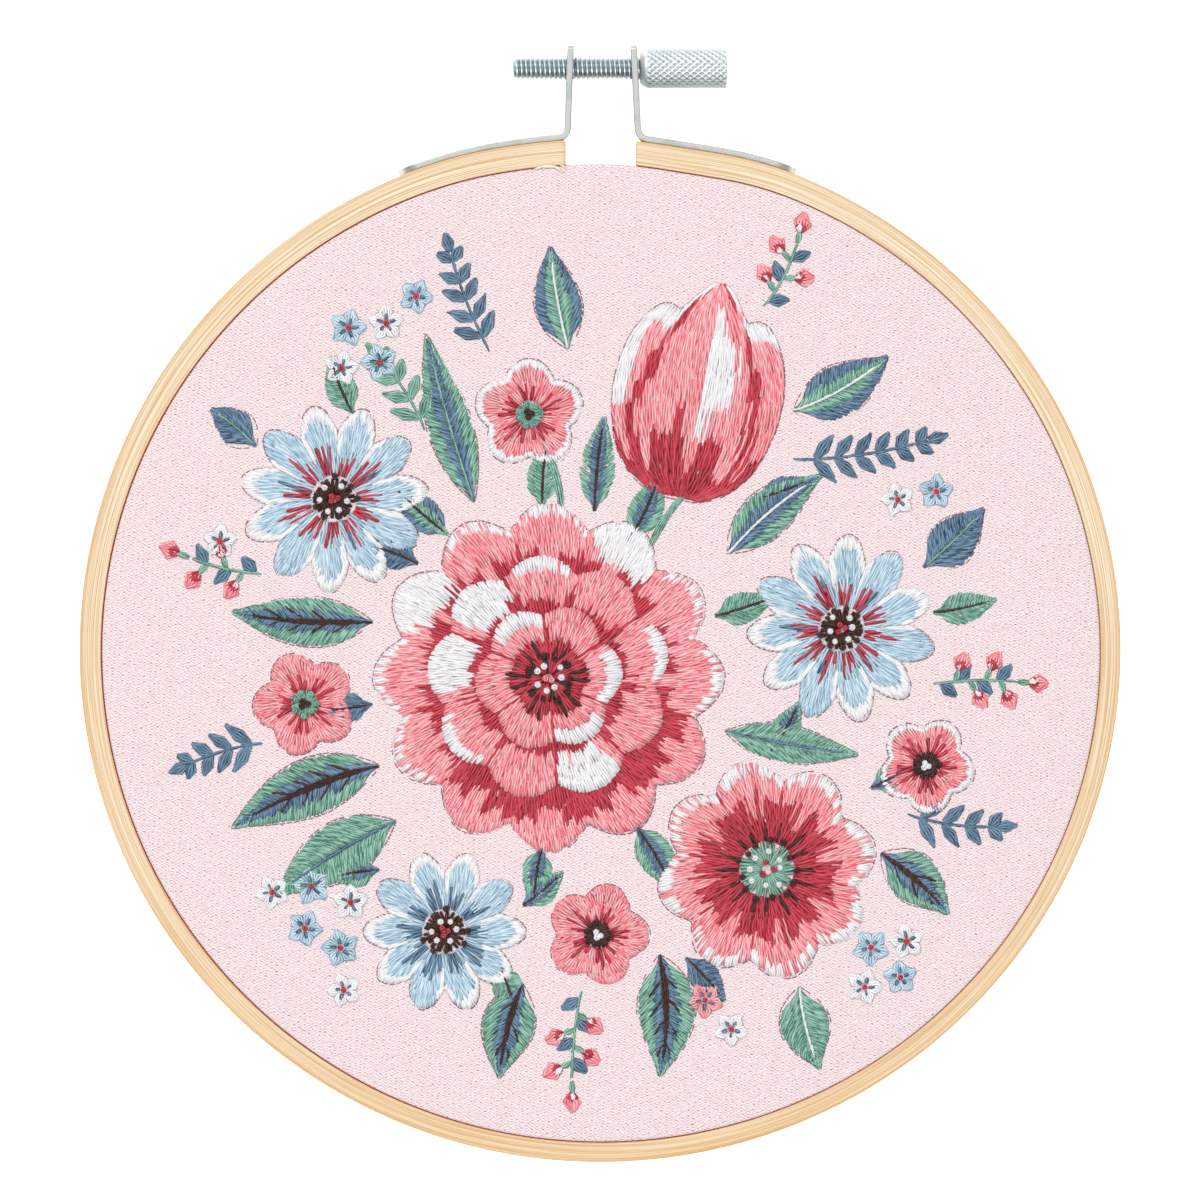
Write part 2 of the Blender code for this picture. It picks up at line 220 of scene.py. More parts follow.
# %% [markdown]
# Every piece here is a tube in some sense: a ring's section goes round the hoop, a circle goes down
# the cloth's profile, and an ellipse follows a stitch. So one function closes the skin over rows of
# loops, for one tube or for thousands at once, and another puts the arrays into a mesh.


# %% Close the skin over loops
def skin(loops, closed=False):
    """A closed surface over each tube of loops, an array of (tubes, rings, sides, 3) in mm.

    Neighbouring rings are joined by quads. Each end is a fan of triangles to its ring's middle,
    or, where closed, the last ring joins the first. Sides run anticlockwise about the way the rings
    go, so that faces point outwards. "at" holds each corner's tube, ring and side, for its maps.
    """
    tubes, rings, sides = loops.shape[:3]
    middles = loops[:, [0, -1]].mean(axis=2)
    points = np.concatenate([loops.reshape(tubes, rings * sides, 3), middles], axis=1)
    if closed:
        points = points[:, :-2]
    ring, side = (a.ravel() for a in np.mgrid[0 : rings if closed else rings - 1, 0:sides])
    quad_ring = np.stack([ring, ring, ring + 1, ring + 1], axis=1)
    quad_side = np.stack([side, side + 1, side + 1, side], axis=1)
    quads = quad_ring % rings * sides + quad_side % sides
    fan = np.arange(0 if closed else sides)
    one, last = np.ones_like(fan), rings - 1
    pole = rings * sides

    def both_ends(at_first, at_last):
        return np.concatenate([np.stack(at_first, axis=1), np.stack(at_last, axis=1)])

    fans = both_ends(
        [one * pole, (fan + 1) % sides, fan],
        [one * (pole + 1), last * sides + fan, last * sides + (fan + 1) % sides],
    )
    fan_ring = both_ends([one * -0.5, one * 0, one * 0], [one * (last + 0.5), one * last, one * last])
    fan_side = both_ends([fan + 0.5, fan + 1, fan], [fan + 0.5, fan, fan + 1])
    tube = np.arange(tubes)[:, None, None]
    first = tube * points.shape[1]

    def at(ring_of, side_of):
        shape = (tubes, *ring_of.shape)
        return np.stack([np.broadcast_to(a, shape) for a in (tube, ring_of, side_of)], axis=-1)

    return {
        "points": points.reshape(-1, 3),
        "quads": (quads + first).reshape(-1, 4),
        "fans": (fans + first).reshape(-1, 3),
        "quads_at": at(quad_ring, quad_side).reshape(-1, 4, 3),
        "fans_at": at(fan_ring, fan_side).reshape(-1, 3, 3),
        "tube_of": np.repeat(np.arange(tubes), points.shape[1]),
    }


def gather(skins):
    """Several skins as one: the points in a row, and the faces and tubes numbered on."""
    first = np.cumsum([0, *(len(s["points"]) for s in skins)])
    tube = np.cumsum([0, *(s["tube_of"].max() + 1 for s in skins)])
    shift = [np.array([t, 0, 0]) for t in tube]
    on = {"points": first * 0, "tube_of": tube}
    on |= {"quads": first, "fans": first, "quads_at": shift, "fans_at": shift}
    return {key: np.concatenate([s[key] + more for s, more in zip(skins, on[key])]) for key in on}


# %% Put a skin into a mesh
def make_piece(name, shell, materials, maps=None, slots=None, values=None):
    """A smooth mesh object from a skin in mm. maps are UV arrays with one row a corner, slots is each
    face's material, and values are numbers with one a point."""
    corners = np.concatenate([shell["quads"].ravel(), shell["fans"].ravel()]).astype(np.int32)
    quads, fans = len(shell["quads"]), len(shell["fans"])
    starts = np.concatenate([np.arange(quads) * 4, quads * 4 + np.arange(fans) * 3]).astype(np.int32)
    mesh = bpy.data.meshes.new(name)
    mesh.vertices.add(len(shell["points"]))
    mesh.vertices.foreach_set("co", (shell["points"] * MM).astype(np.float32).ravel())
    mesh.loops.add(len(corners))
    mesh.loops.foreach_set("vertex_index", corners)
    mesh.polygons.add(len(starts))
    mesh.polygons.foreach_set("loop_start", starts)
    for material in materials:
        mesh.materials.append(material)
    if slots is not None:
        mesh.polygons.foreach_set("material_index", slots.astype(np.int32))
    mesh.update(calc_edges=True)
    for map_name, uv in (maps or {}).items():
        layer = mesh.uv_layers.new(name=map_name)
        layer.uv.foreach_set("vector", uv.astype(np.float32).ravel())
    for value_name, value in (values or {}).items():
        attribute = mesh.attributes.new(value_name, "FLOAT", "POINT")
        attribute.data.foreach_set("value", value.astype(np.float32))
    mesh.shade_smooth()
    piece = bpy.data.objects.new(name, mesh)
    bpy.context.scene.collection.objects.link(piece)
    return piece


def corners_at(shell):
    """The tube, ring and side of each corner of each face, quads first."""
    return np.concatenate([shell["quads_at"].reshape(-1, 3), shell["fans_at"].reshape(-1, 3)])


def corner_map(shell, along, across):
    """A UV row for each corner: its ring's distance along and its side's distance across."""
    ring, side = corners_at(shell)[:, 1:].T
    along_ring = np.interp(ring, np.arange(len(along)), along)
    return np.column_stack([along_ring, np.interp(side, np.arange(len(across)), across)])


def triangles_of(piece):
    return sum(len(p.vertices) - 2 for p in piece.data.polygons)


# %% Attach a piece to its body
def hand_over(piece, body, slot, *nodes):
    """The piece rides on a body and stands for these CAD nodes, which are hidden. The slot argument is not
    used.
    """
    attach(piece, body)
    if nodes:
        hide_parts(*nodes)
    print(piece.name, triangles_of(piece), "triangles")
    return piece


# %% Start a material
def new_material(name, roughness, metallic=0.0, **constants):
    """A material with a Principled shader whose even values are set on its own sockets."""
    material = bpy.data.materials.new(name)
    material.use_nodes = True
    shader = material.node_tree.nodes["Principled BSDF"]
    plug(material.node_tree, shader, Roughness=roughness, Metallic=metallic, **constants)
    return material, material.node_tree, shader


# %% [markdown]
# ## Floor
# A product photographer's light table: white acrylic, lit a little from below as well, so that it
# comes out pure white and hardly a shadow shows round the hoop.

# %% Floor
FLOOR_REACH, FLOOR_DROP = 3, 0.02 * MM  # in metres; the drop keeps it from shining through the rings
lit_white = {"Emission_Color": "#FFFFFF", "Emission_Strength": 0.65}
table, tree, shader = new_material("opal white acrylic", 0.85, **lit_white)
grey = node(tree, "TexNoise", Vector=node(tree, "TexCoord").outputs["Object"], Scale=3.0)
plug(tree, shader, Base_Color=node(tree, "Mix", RGBA, Factor=grey, i6="#FFFFFF", i7="#FCFCFC"))
floor_mesh = bpy.data.meshes.new("floor")
corners = [(x * FLOOR_REACH, y * FLOOR_REACH, 0) for x, y in ((-1, -1), (1, -1), (1, 1), (-1, 1))]
floor_mesh.from_pydata(corners, [], [(0, 1, 2, 3)])
floor_mesh.materials.append(table)
floor = bpy.data.objects.new("floor", floor_mesh)
floor.location.z = -FLOOR_DROP
bpy.context.scene.collection.objects.link(floor)
floor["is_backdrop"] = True
print("floor is", 2 * FLOOR_REACH, "m square")

# %% [markdown]
# ## Bamboo
# The rings are bamboo strips bent round a former and sanded. Bamboo has no growth rings: its fibres
# run along the strip as fine straight lines, tan on cream, with thinner darker lines where a bundle of
# fibres comes to the surface. The pattern therefore follows the piece's own map, in mm along the ring
# and mm round its section, and is stretched more than a hundred times along the ring.
# The outside of the ring is cut nearest the skin of the cane, and is more amber. The edge beside the cloth
# is red brown: light goes back and forth there between pink cloth and amber wood until only dark red is
# left. A renderer stops sooner and ends in black, so that red brown is painted on as shade on both sides of
# that fold, darkest on the left.


# %% Bamboo material
CANE_LENGTH = 470.0


def bamboo_material():
    """Sanded bamboo with a thin clear coat: a pale, low gloss with straight fibre lines. The strip is
    from a riper, redder part of the cane in the middle of its length, at the bottom of the hoop."""
    material, tree, shader = new_material("sanded bamboo", 0.5, Coat_Weight=0.08, Coat_Roughness=0.35)
    grain = node(tree, "UVMap", {"uv_map": "grain"})
    looks = []
    for place, scale, detail, rough in (  # fine fibres, broad bands and dark bundles of fibres
        ((0, 0, 0), (0.03, 5.0, 1), 3.0, 0.6),
        ((0, 0, 0), (0.006, 0.8, 1), 2.0, 0.5),
        ((7, 3, 0), (0.016, 7.4, 1), 1.0, 0.5),
    ):
        drawn_out = node(tree, "Mapping", Vector=grain, Location=place, Scale=scale)
        noise = {"Vector": drawn_out, "Scale": 1.0, "Detail": detail, "Roughness": rough}
        looks.append(node(tree, "TexNoise", FLAT, **noise))
    fine, broad, bundles = looks
    warm = node(tree, "MapRange", Value=broad, i1=0.45, i2=0.75, i3=0.0, i4=0.3)
    dark_lines = node(tree, "MapRange", Value=bundles, i1=0.56, i2=0.62, i3=0.0, i4=0.7)
    along = node(tree, "SeparateXYZ", Vector=grain).outputs["X"]
    turns = node(tree, "Math", TIMES, i0=along, i1=2 * math.pi / CANE_LENGTH)
    to_middle = node(tree, "Math", COSINE, i0=turns)
    riper = node(tree, "MapRange", Value=to_middle, i1=0.1, i2=-1.0, i3=0.0, i4=1.0)
    skin_side = node(tree, "Attribute", {"attribute_name": "cane_skin"}).outputs["Fac"]
    amber = node(tree, "Math", TIMES, i0=skin_side, i1=0.6)
    # Painted shade: the red brown of the fold between the wood and the cloth.
    groove_shade_share = node(tree, "Attribute", {"attribute_name": "beside_cloth"}).outputs["Fac"]
    fibre_colours = {"steps": ((0.36, "#DFBB8A"), (0.47, "#EED5B0"), (0.64, "#F9EAD2"))}
    colour = node(tree, "ValToRGB", fibre_colours, Fac=fine)
    for share, how, over in (
        (warm, "MIX", "#EAC797"),
        (riper, "MULTIPLY", "#FAEEE0"),
        (dark_lines, "MIX", "#DCA768"),
        (amber, "MIX", "#DDA964"),
        (groove_shade_share, "MIX", "#C8683F"),
    ):
        colour = node(tree, "Mix", {**RGBA, "blend_type": how}, Factor=share, i6=colour, i7=over)
    relief = node(tree, "Bump", Strength=0.35, Distance=0.05 * MM, Height=fine)
    plug(tree, shader, Base_Color=colour, Normal=relief)
    return material


def bamboo_end_material():
    """The sawn end of a bamboo strip: cut fibres, which show as brown dots in pale pith."""
    material, tree, shader = new_material("sawn bamboo end", 0.7)
    place = node(tree, "TexCoord").outputs["Object"]
    dots = node(tree, "TexVoronoi", Vector=place, Scale=1 / (0.45 * MM))
    pith = node(tree, "ValToRGB", {"steps": ((0.2, "#C4905A"), (0.5, "#EBCFA4"))}, Fac=dots)
    plug(tree, shader, Base_Color=pith)
    return material


bamboo, bamboo_end = bamboo_material(), bamboo_end_material()
print("wood", bamboo.name, "and", bamboo_end.name)

# %% [markdown]
# ## The two rings
# A ring is one section carried round an ellipse. The section is a box with its edges eased by
# sandpaper. The outer ring's wall changes round the hoop, because its opening is rounder than its
# outside and sits a little low, so the section's outer half moves out with the wall.


# %% A box section with rounded edges
def rounded_box(first, second, edge):
    """A box's outline, anticlockwise from its lower left corner, with quarter circles for corners.

    Each corner is a centre plus edge times (cos, sin) of four angles. Each side between two corners
    is a line cut in six, with its outer cuts close to the corners, so that the flats shade flat.
    """
    right, up = first - edge, second - edge
    centres = np.array([[edge, edge], [right, edge], [right, up], [edge, up]])
    cuts = np.array([0.03, 0.2, 0.4, 0.6, 0.8, 0.97])[:, None]
    outline = []
    for i, centre in enumerate(centres):
        angles = np.radians(180 + 90 * i + np.linspace(0, 90, 4))
        corner = centre + edge * circle(angles)
        following = corner[-1] + centres[(i + 1) % 4] - centre
        outline += [corner, corner[-1] + (following - corner[-1]) * cuts]
    return np.concatenate(outline)


def ring_piece(name, plan, height, section, length, materials, closed=False, slots=None, **values):
    """A ring from its plan and heights, settled, with the grain map in mm along it and round its
    section. values are shares for each point of the section, and the ends' middles get none."""
    shell = skin(raised(plan, height)[None], closed)
    settle(shell["points"])
    around = lengths_along(np.concatenate([section, section[:1]]))
    spare = len(shell["points"]) - height.size
    values = {key: np.append(value, [0.0] * spare) for key, value in values.items()}
    if slots is not None:
        slots = np.repeat(slots, (len(shell["quads"]), len(shell["fans"])))
    return make_piece(name, shell, materials, {"grain": corner_map(shell, length, around)}, slots, values)


# %% The sunken ends
# Both ends of a ring that is drawn tight sink a little: x, depth and width of each bell curve.
SUNKEN = ((-8.0, 0.4, 12.0), (13.0, 0.72, 10.0))
SINKS_FROM, SINKS_TO, SINKS_OVER = 58.0, 80.0, 8.0


def settle(points):
    """Lowers what lies between two heights near the split, by the sum of two bell curves: a depth
    times e to the minus square of the distance over the width."""
    x, y = points[..., 0], points[..., 1]
    sunk = sum(depth * np.exp(-(((x - at) / width) ** 2)) for at, depth, width in SUNKEN)
    low, high = np.clip((y - SINKS_FROM) / SINKS_OVER, 0, 1), np.clip((SINKS_TO - y) / SINKS_OVER, 0, 1)
    points[..., 1] -= sunk * low * high


# %% Outer ring
EASED_EDGE, LEAST_WALL, SKIN_DEPTH, GROOVE_DEPTH = 0.18, 3.2, 0.45, 0.18
EASED_DEPTH, EASED_HEIGHT = 0.9, 0.965  # how much of the section a cut end keeps
OUTER_STATIONS, INNER_STATIONS = 300, 220


def bend_the_outer_ring():
    """The split ring. Its inside and outside are two ellipses, (cos, sin) of an angle that goes
    anticlockwise from the left cut to the right cut, and each section lies between their points."""
    share = np.concatenate([[0, 0.0006], np.linspace(0.002, 0.998, OUTER_STATIONS), [0.9994, 1]])

    def ellipse(half_width, half_height, x, y):
        left = math.acos((SPLIT_LEFT - x) / half_width)
        right = math.acos((SPLIT_RIGHT - x) / half_width) + 2 * math.pi
        angle = left + (right - left) * share
        return (x, y) + circle(angle) * (half_width, half_height)

    inside = ellipse(OPENING_HALF_WIDTH, OPENING_HALF_WIDTH * ROUNDNESS, CLOTH_X, CLOTH_Y)
    outside = ellipse(RING_HALF_WIDTH, RING_HALF_HEIGHT, 0.0, HOOP_Y)
    wall = np.linalg.norm(outside - inside, axis=1)[:, None]
    out = (outside - inside) / wall
    section = rounded_box(RING_DEPTH, LEAST_WALL, EASED_EDGE)
    depth = section[:, 1] + (wall - LEAST_WALL) * (section[:, 1] > LEAST_WALL / 2)
    height = np.broadcast_to(section[:, 0], depth.shape).copy()
    ends = [0, -1]
    depth[ends] = wall[ends] / 2 + (depth[ends] - wall[ends] / 2) * EASED_DEPTH
    height[ends] = RING_DEPTH / 2 + (height[ends] - RING_DEPTH / 2) * EASED_HEIGHT
    plan = inside[:, None] + out[:, None] * depth[..., None]
    to_right = inside[:, :1] / OPENING_HALF_WIDTH
    at_face = np.clip(1.1 - depth / GROOVE_DEPTH, 0, 1) * (height > RING_DEPTH / 2)
    shares = {
        "cane_skin": np.clip(1.3 - (wall - depth) / SKIN_DEPTH, 0, 1),
        # Painted shade of the fold beside the cloth, darkest on the left and fading to the right.
        "beside_cloth": at_face * (0.6 - 0.4 * to_right),
    }
    woods, length = [bamboo, bamboo_end], lengths_along(inside)
    return ring_piece("outer_ring_bamboo", plan, height, section, length, woods, slots=(0, 1), **shares)


hand_over(bend_the_outer_ring(), "hoop", "bamboo", "outer_ring")

# %% [markdown]
# The inner ring is closed and lies under the cloth. The part keeps it clear of a thick stand-in for
# the cloth. Here the cloth has its real thickness, so the ring fills the room that this leaves.

# %% Inner ring
CLOTH_THICKNESS, SLACK = 0.42, 0.03
INNER_OUTER, INNER_INNER, INNER_EDGE = CLOTH_RADIUS - CLOTH_THICKNESS - SLACK, 72.2, 0.85
INNER_TOP = CLOTH_FACE - CLOTH_THICKNESS - SLACK


def bend_the_inner_ring():
    """A rounded box carried round a closed ellipse: (cos, sin) of the angle times the radius."""
    section = rounded_box(INNER_TOP, INNER_OUTER - INNER_INNER, INNER_EDGE)
    angle = np.linspace(0, 2 * math.pi, INNER_STATIONS, endpoint=False)
    radius = INNER_INNER + section[:, 1]
    plan = (circle(angle) * (1, ROUNDNESS))[:, None] * radius[None, :, None] + (CLOTH_X, CLOTH_Y)
    height = np.broadcast_to(section[:, 0], plan.shape[:2])
    length = np.linspace(0, 2 * math.pi * INNER_INNER, INNER_STATIONS + 1)
    no_skin = np.zeros(height.shape)
    return ring_piece(
        "inner_ring_bamboo", plan, height, section, length, [bamboo], closed=True, cane_skin=no_skin
    )


hand_over(bend_the_inner_ring(), "hoop", "bamboo", "inner_ring")

# %% [markdown]
# ## Zinc-plated steel
# The strips, rod and barrel are mild steel with a bright zinc plating that was dipped in a blue
# passivate. That gives a light grey metal with faint green and rose tints and a fine bloom, so the
# base colour drifts between three tints and a fine relief blurs what it reflects.


# %% Zinc plating
def zinc_material(name, roughness, grain, shade, light, dark, tint, fleck):
    """Zinc-plated steel: bright, a little blurred. Where the point value "hollow" is 1, old oil and painted
    shade darken it by the share that shade gives."""
    material, tree, shader = new_material(name, roughness, metallic=1.0)
    place = node(tree, "TexCoord").outputs["Object"]
    cloud = node(tree, "TexNoise", Vector=place, Scale=1 / (2.2 * MM), Detail=3.0)
    bloom = node(tree, "TexNoise", Vector=place, Scale=1 / (0.16 * MM), Detail=2.0)
    plain = node(tree, "ValToRGB", {"steps": ((0.35, dark), (0.5, tint), (0.62, light))}, Fac=cloud)
    some = node(tree, "MapRange", Value=bloom, i1=0.4, i2=0.62, i3=0.0, i4=0.5)
    flecked = node(tree, "Mix", RGBA, Factor=some, i6=plain, i7=fleck)
    hollow = node(tree, "Attribute", {"attribute_name": "hollow"}).outputs["Fac"]
    shaded = node(tree, "Math", TIMES, i0=hollow, i1=shade)
    # Painted shade in the hollows, with some old oil.
    oil_and_painted_shade = node(tree, "Mix", RGBA, Factor=shaded, i6=flecked, i7="#56656C")
    relief = node(tree, "Bump", Strength=grain, Distance=0.012 * MM, Height=bloom)
    plug(tree, shader, Base_Color=oil_and_painted_shade, Normal=relief)
    return material


STEEL = "zinc-plated steel"
strip_steel = zinc_material(f"{STEEL} strip", 0.38, 0.3, 0.0, "#BAC6BB", "#A9B5AC", "#C7BEC0", "#DEE3DA")
knurled_steel = zinc_material(
    f"{STEEL}, knurled", 0.42, 0.1, 0.52, "#EEF3F2", "#DCE5E6", "#E9EDED", "#F8FAF9"
)
rolled_steel = zinc_material(
    f"{STEEL}, thread-rolled", 0.3, 0.03, 0.42, "#C2CDCF", "#B3BFC3", "#BDC9CB", "#C9D2D3"
)
print("metal", strip_steel.name, knurled_steel.name, rolled_steel.name)

# %% [markdown]
# ## Brackets
# Each bracket is a 7 mm strip with sheared edges and a round tail. It lies on the outer ring and turns
# up into a lug that the screw goes through. Seen from the front it is a line 1 mm thick, so its path
# is worked out in plan, as the part has it, and a thin box follows it. A boolean drills the lug. The
# part keeps the strip 0.3 mm off the ring. Here it is drawn up snug, to 0.02 mm, and the lug's end is
# nearly square, as the photograph shows it.

# %% Bracket path and strip
STRIP_WIDTH, STRIP_THICKNESS, SHEARED_EDGE, BEND_RADIUS, CLEARANCE = 7.0, 1.0, 0.16, 1.7, 0.02
HOLE_RADIUS, LUG_CORNER, SHARP_DEG = 2.1, 0.8, 40


def bracket_path(side, lug_x, lean_deg, tail_x):
    """The strip's centreline from the front: a straight lug that leans to the split, a curve with
    three control points for the bend, and an arc of the ring's ellipse out to the tail."""
    half_width = RING_HALF_WIDTH + CLEARANCE + STRIP_THICKNESS / 2
    half_height = RING_HALF_HEIGHT + CLEARANCE + STRIP_THICKNESS / 2
    lean, screw = math.tan(math.radians(lean_deg)), SCREW_Y - HOOP_Y

    def on_lug(y):
        return np.array([lug_x - side * lean * (y - screw), y])

    def on_ring(angle):
        return circle(angle) * (half_width, half_height)

    foot_angle = math.acos(on_lug(half_height)[0] / half_width)
    foot = on_lug(half_height * math.sin(foot_angle))
    up = on_lug(screw) - foot
    bend_start = foot + BEND_RADIUS * up / np.linalg.norm(up)
    bend_end = foot_angle - side * BEND_RADIUS / half_width
    t = np.linspace(0, 1, 16)[:, None]
    bend = (1 - t) ** 2 * bend_start + 2 * t * (1 - t) * foot + t**2 * on_ring(np.array([bend_end]))
    top = on_lug(screw + STRIP_WIDTH / 2)
    lug = top + np.linspace(0, 1, 40)[:-1, None] * (bend_start - top)
    tail = on_ring(np.linspace(bend_end, math.acos(tail_x / half_width), 70))[1:]
    path = np.concatenate([lug, bend, tail]) + (0, HOOP_Y)
    settle(path)
    return path


def bend_a_strip(name, **placing):
    """A thin rounded box along the path. Its half width at a distance d from an end is less by the
    end's radius r, plus the root of r squared less (r - d) squared, as in a circle. The tail is round
    and the lug has rounded corners."""
    path = bracket_path(**placing)
    length = lengths_along(path)
    reach = STRIP_WIDTH / 2
    bow = 1 - np.cos(np.linspace(0.12, math.pi / 2, 14))
    middle = length[(length > LUG_CORNER + 0.1) & (length < length[-1] - reach - 0.1)]
    station = np.concatenate([LUG_CORNER * bow, middle, length[-1] - reach * bow[::-1]])
    half = np.full(len(station), reach)
    for corner, to_end in ((LUG_CORNER, station), (reach, length[-1] - station)):
        half -= corner - np.sqrt(corner**2 - (corner - np.minimum(to_end, corner)) ** 2)
    plan = points_at(station, path)
    heading = np.gradient(plan, station, axis=0)
    heading /= np.linalg.norm(heading, axis=1)[:, None]
    section = rounded_box(STRIP_THICKNESS, STRIP_WIDTH, SHEARED_EDGE) - (STRIP_THICKNESS / 2, reach)
    across = plan[:, None] + left_of(heading)[:, None] * section[None, :, :1]
    height = SCREW_Z + section[:, 1] * half[:, None] / reach
    return make_piece(name, skin(raised(across, height)[None]), [strip_steel])


def drill(piece, x):
    """Drills the screw's hole with a boolean, keeps the drilled mesh and throws the drill away."""
    turn = np.linspace(0, 2 * math.pi, 48, endpoint=False)
    ring = np.column_stack([turn * 0, HOLE_RADIUS * circle(turn)])
    loops = np.stack([ring + (x - 2, SCREW_Y, SCREW_Z), ring + (x + 2, SCREW_Y, SCREW_Z)])[None]
    bit = make_piece("drill_bit", skin(loops), [])
    hole = piece.modifiers.new("screw hole", "BOOLEAN")
    hole.object = bit
    drilled = bpy.data.meshes.new_from_object(piece.evaluated_get(bpy.context.evaluated_depsgraph_get()))
    piece.modifiers.clear()
    piece.data = drilled
    bpy.data.objects.remove(bit)
    drilled.set_sharp_from_angle(angle=math.radians(SHARP_DEG))


for name, side, lug_x, lean_deg, tail_x in (
    ("bracket_left", -1, -4.64, 2.1, -31.0),
    ("bracket_right", 1, 5.35, 3.0, 30.2),
):
    strip = bend_a_strip(name + "_strip", side=side, lug_x=lug_x, lean_deg=lean_deg, tail_x=tail_x)
    drill(strip, lug_x)
    hand_over(strip, "hoop", "zinc_plated_steel", name)

# %% [markdown]
# ## Thumbscrew
# The rod is a rolled thread, 3.5 mm across with a crest every 0.72 mm. The barrel is pressed on
# it and has a diamond knurl. Both are circles along the screw's axis whose radius is a function of the
# distance along it and the angle round it, so thread and knurl are real relief that turns with the
# screw.

# %% Rod and barrel
ROD_RADIUS, ROD_START, ROD_END, PITCH, THREAD_DEPTH = 1.75, -13.4, 12.2, 0.72, 0.36
END_CHAMFER = 0.45
BARREL_RADIUS, BARREL_START, BARREL_END, BARREL_CORNER = 3.1, 6.2, 19.7, 0.5
NECK_RADIUS, NECK_LENGTH = 2.35, 1.6
KNURLS_ROUND, KNURL_PITCH, KNURL_DEPTH, KNURL_START, KNURL_END = 20, 1.16, 0.16, 7.0, 19.55


def wave(turns):
    """A triangle wave: 1 at whole numbers and 0 half way between them."""
    return np.abs(2 * (turns % 1.0) - 1)


def turn_about_the_screw(name, x, radius, hollow, steel, cad_node):
    """Circles along the screw's axis: y and z are the radius times (cos, sin) of the angle. hollow is 1 at
    the bottom of a thread or between the points of the knurl, where oil collects and shade is painted in."""
    angle = np.linspace(0, 2 * math.pi, radius.shape[1], endpoint=False)
    y, z = SCREW_Y + radius * np.cos(angle), SCREW_Z + radius * np.sin(angle)
    loops = np.stack([np.broadcast_to(x[:, None], radius.shape), y, z], axis=-1)
    piece = make_piece(name, skin(loops[None]), [steel], values={"hollow": np.append(hollow, [0.0, 0.0])})
    return hand_over(piece, "thumbscrew", "zinc_plated_steel", cad_node)


def roll_the_rod():
    """The radius is less by the thread's depth where the helix, distance over pitch less turns, is
    half way between two crests: a triangle wave, cut off flat at crest and root. A cone takes down the
    thread at each end."""
    x = np.linspace(ROD_START, ROD_END, 500)
    turns = np.linspace(0, 1, 24, endpoint=False)
    root = np.clip(1.15 - 1.75 * wave(x[:, None] / PITCH - turns), 0, 1)
    to_end = np.minimum(x - ROD_START, ROD_END - x)[:, None]
    radius = np.minimum(ROD_RADIUS - THREAD_DEPTH * root, ROD_RADIUS - END_CHAMFER + to_end)
    return turn_about_the_screw("threaded_rod", x, radius, root, rolled_steel, "screw_rod")


def knurl_the_barrel():
    """The plain radius swells from the neck by the square of the distance and ends in a rounded
    corner. The knurl is the higher of two triangle waves that cross, one for each hand of helix."""
    middle = np.linspace(BARREL_START + 0.15, BARREL_END - 0.1, 126)
    x = np.concatenate([[BARREL_START, BARREL_START + 0.05], middle, [BARREL_END - 0.04, BARREL_END]])
    turns = np.linspace(0, 1, 160, endpoint=False) * KNURLS_ROUND
    to_shoulder = np.clip((BARREL_START + NECK_LENGTH - x) / NECK_LENGTH, 0, 1)
    plain = BARREL_RADIUS - (BARREL_RADIUS - NECK_RADIUS) * to_shoulder**2
    to_end = np.clip(BARREL_END - x, 0, BARREL_CORNER)
    plain = plain - BARREL_CORNER + np.sqrt(BARREL_CORNER**2 - (BARREL_CORNER - to_end) ** 2)
    plain[0] -= 0.1
    along = (x / KNURL_PITCH)[:, None]
    ridge = np.clip(np.maximum(wave(turns + along), wave(turns - along)) * 1.9 - 0.85, 0, 1)
    rolled = np.clip((x - KNURL_START) / 0.4, 0, 1) * np.clip((KNURL_END - x) / 0.2, 0, 1)
    pits = (1 - ridge) * rolled[:, None]
    radius = plain[:, None] - KNURL_DEPTH * pits
    return turn_about_the_screw("knurled_barrel", x, radius, pits, knurled_steel, "thumb_barrel")


roll_the_rod()
knurl_the_barrel()

# %% [markdown]
# ## Cotton cloth
# A plain-weave cotton of coloured warp and near-white weft, as thick as a shirt. Pulled tight it is
# flat, turns over the inner ring in a small round and goes down between the rings to where it was
# trimmed. It is made as a sheet with two sides: circles go out along the face, over the edge, down,
# and back up and in along the other side. A simulation would find the same flat drum.


# %% Cloth
SWELL, SWELLS_TO = 0.03, 70  # how far the face rises and falls, and out to which radius
CLOTH_SIDES = 200


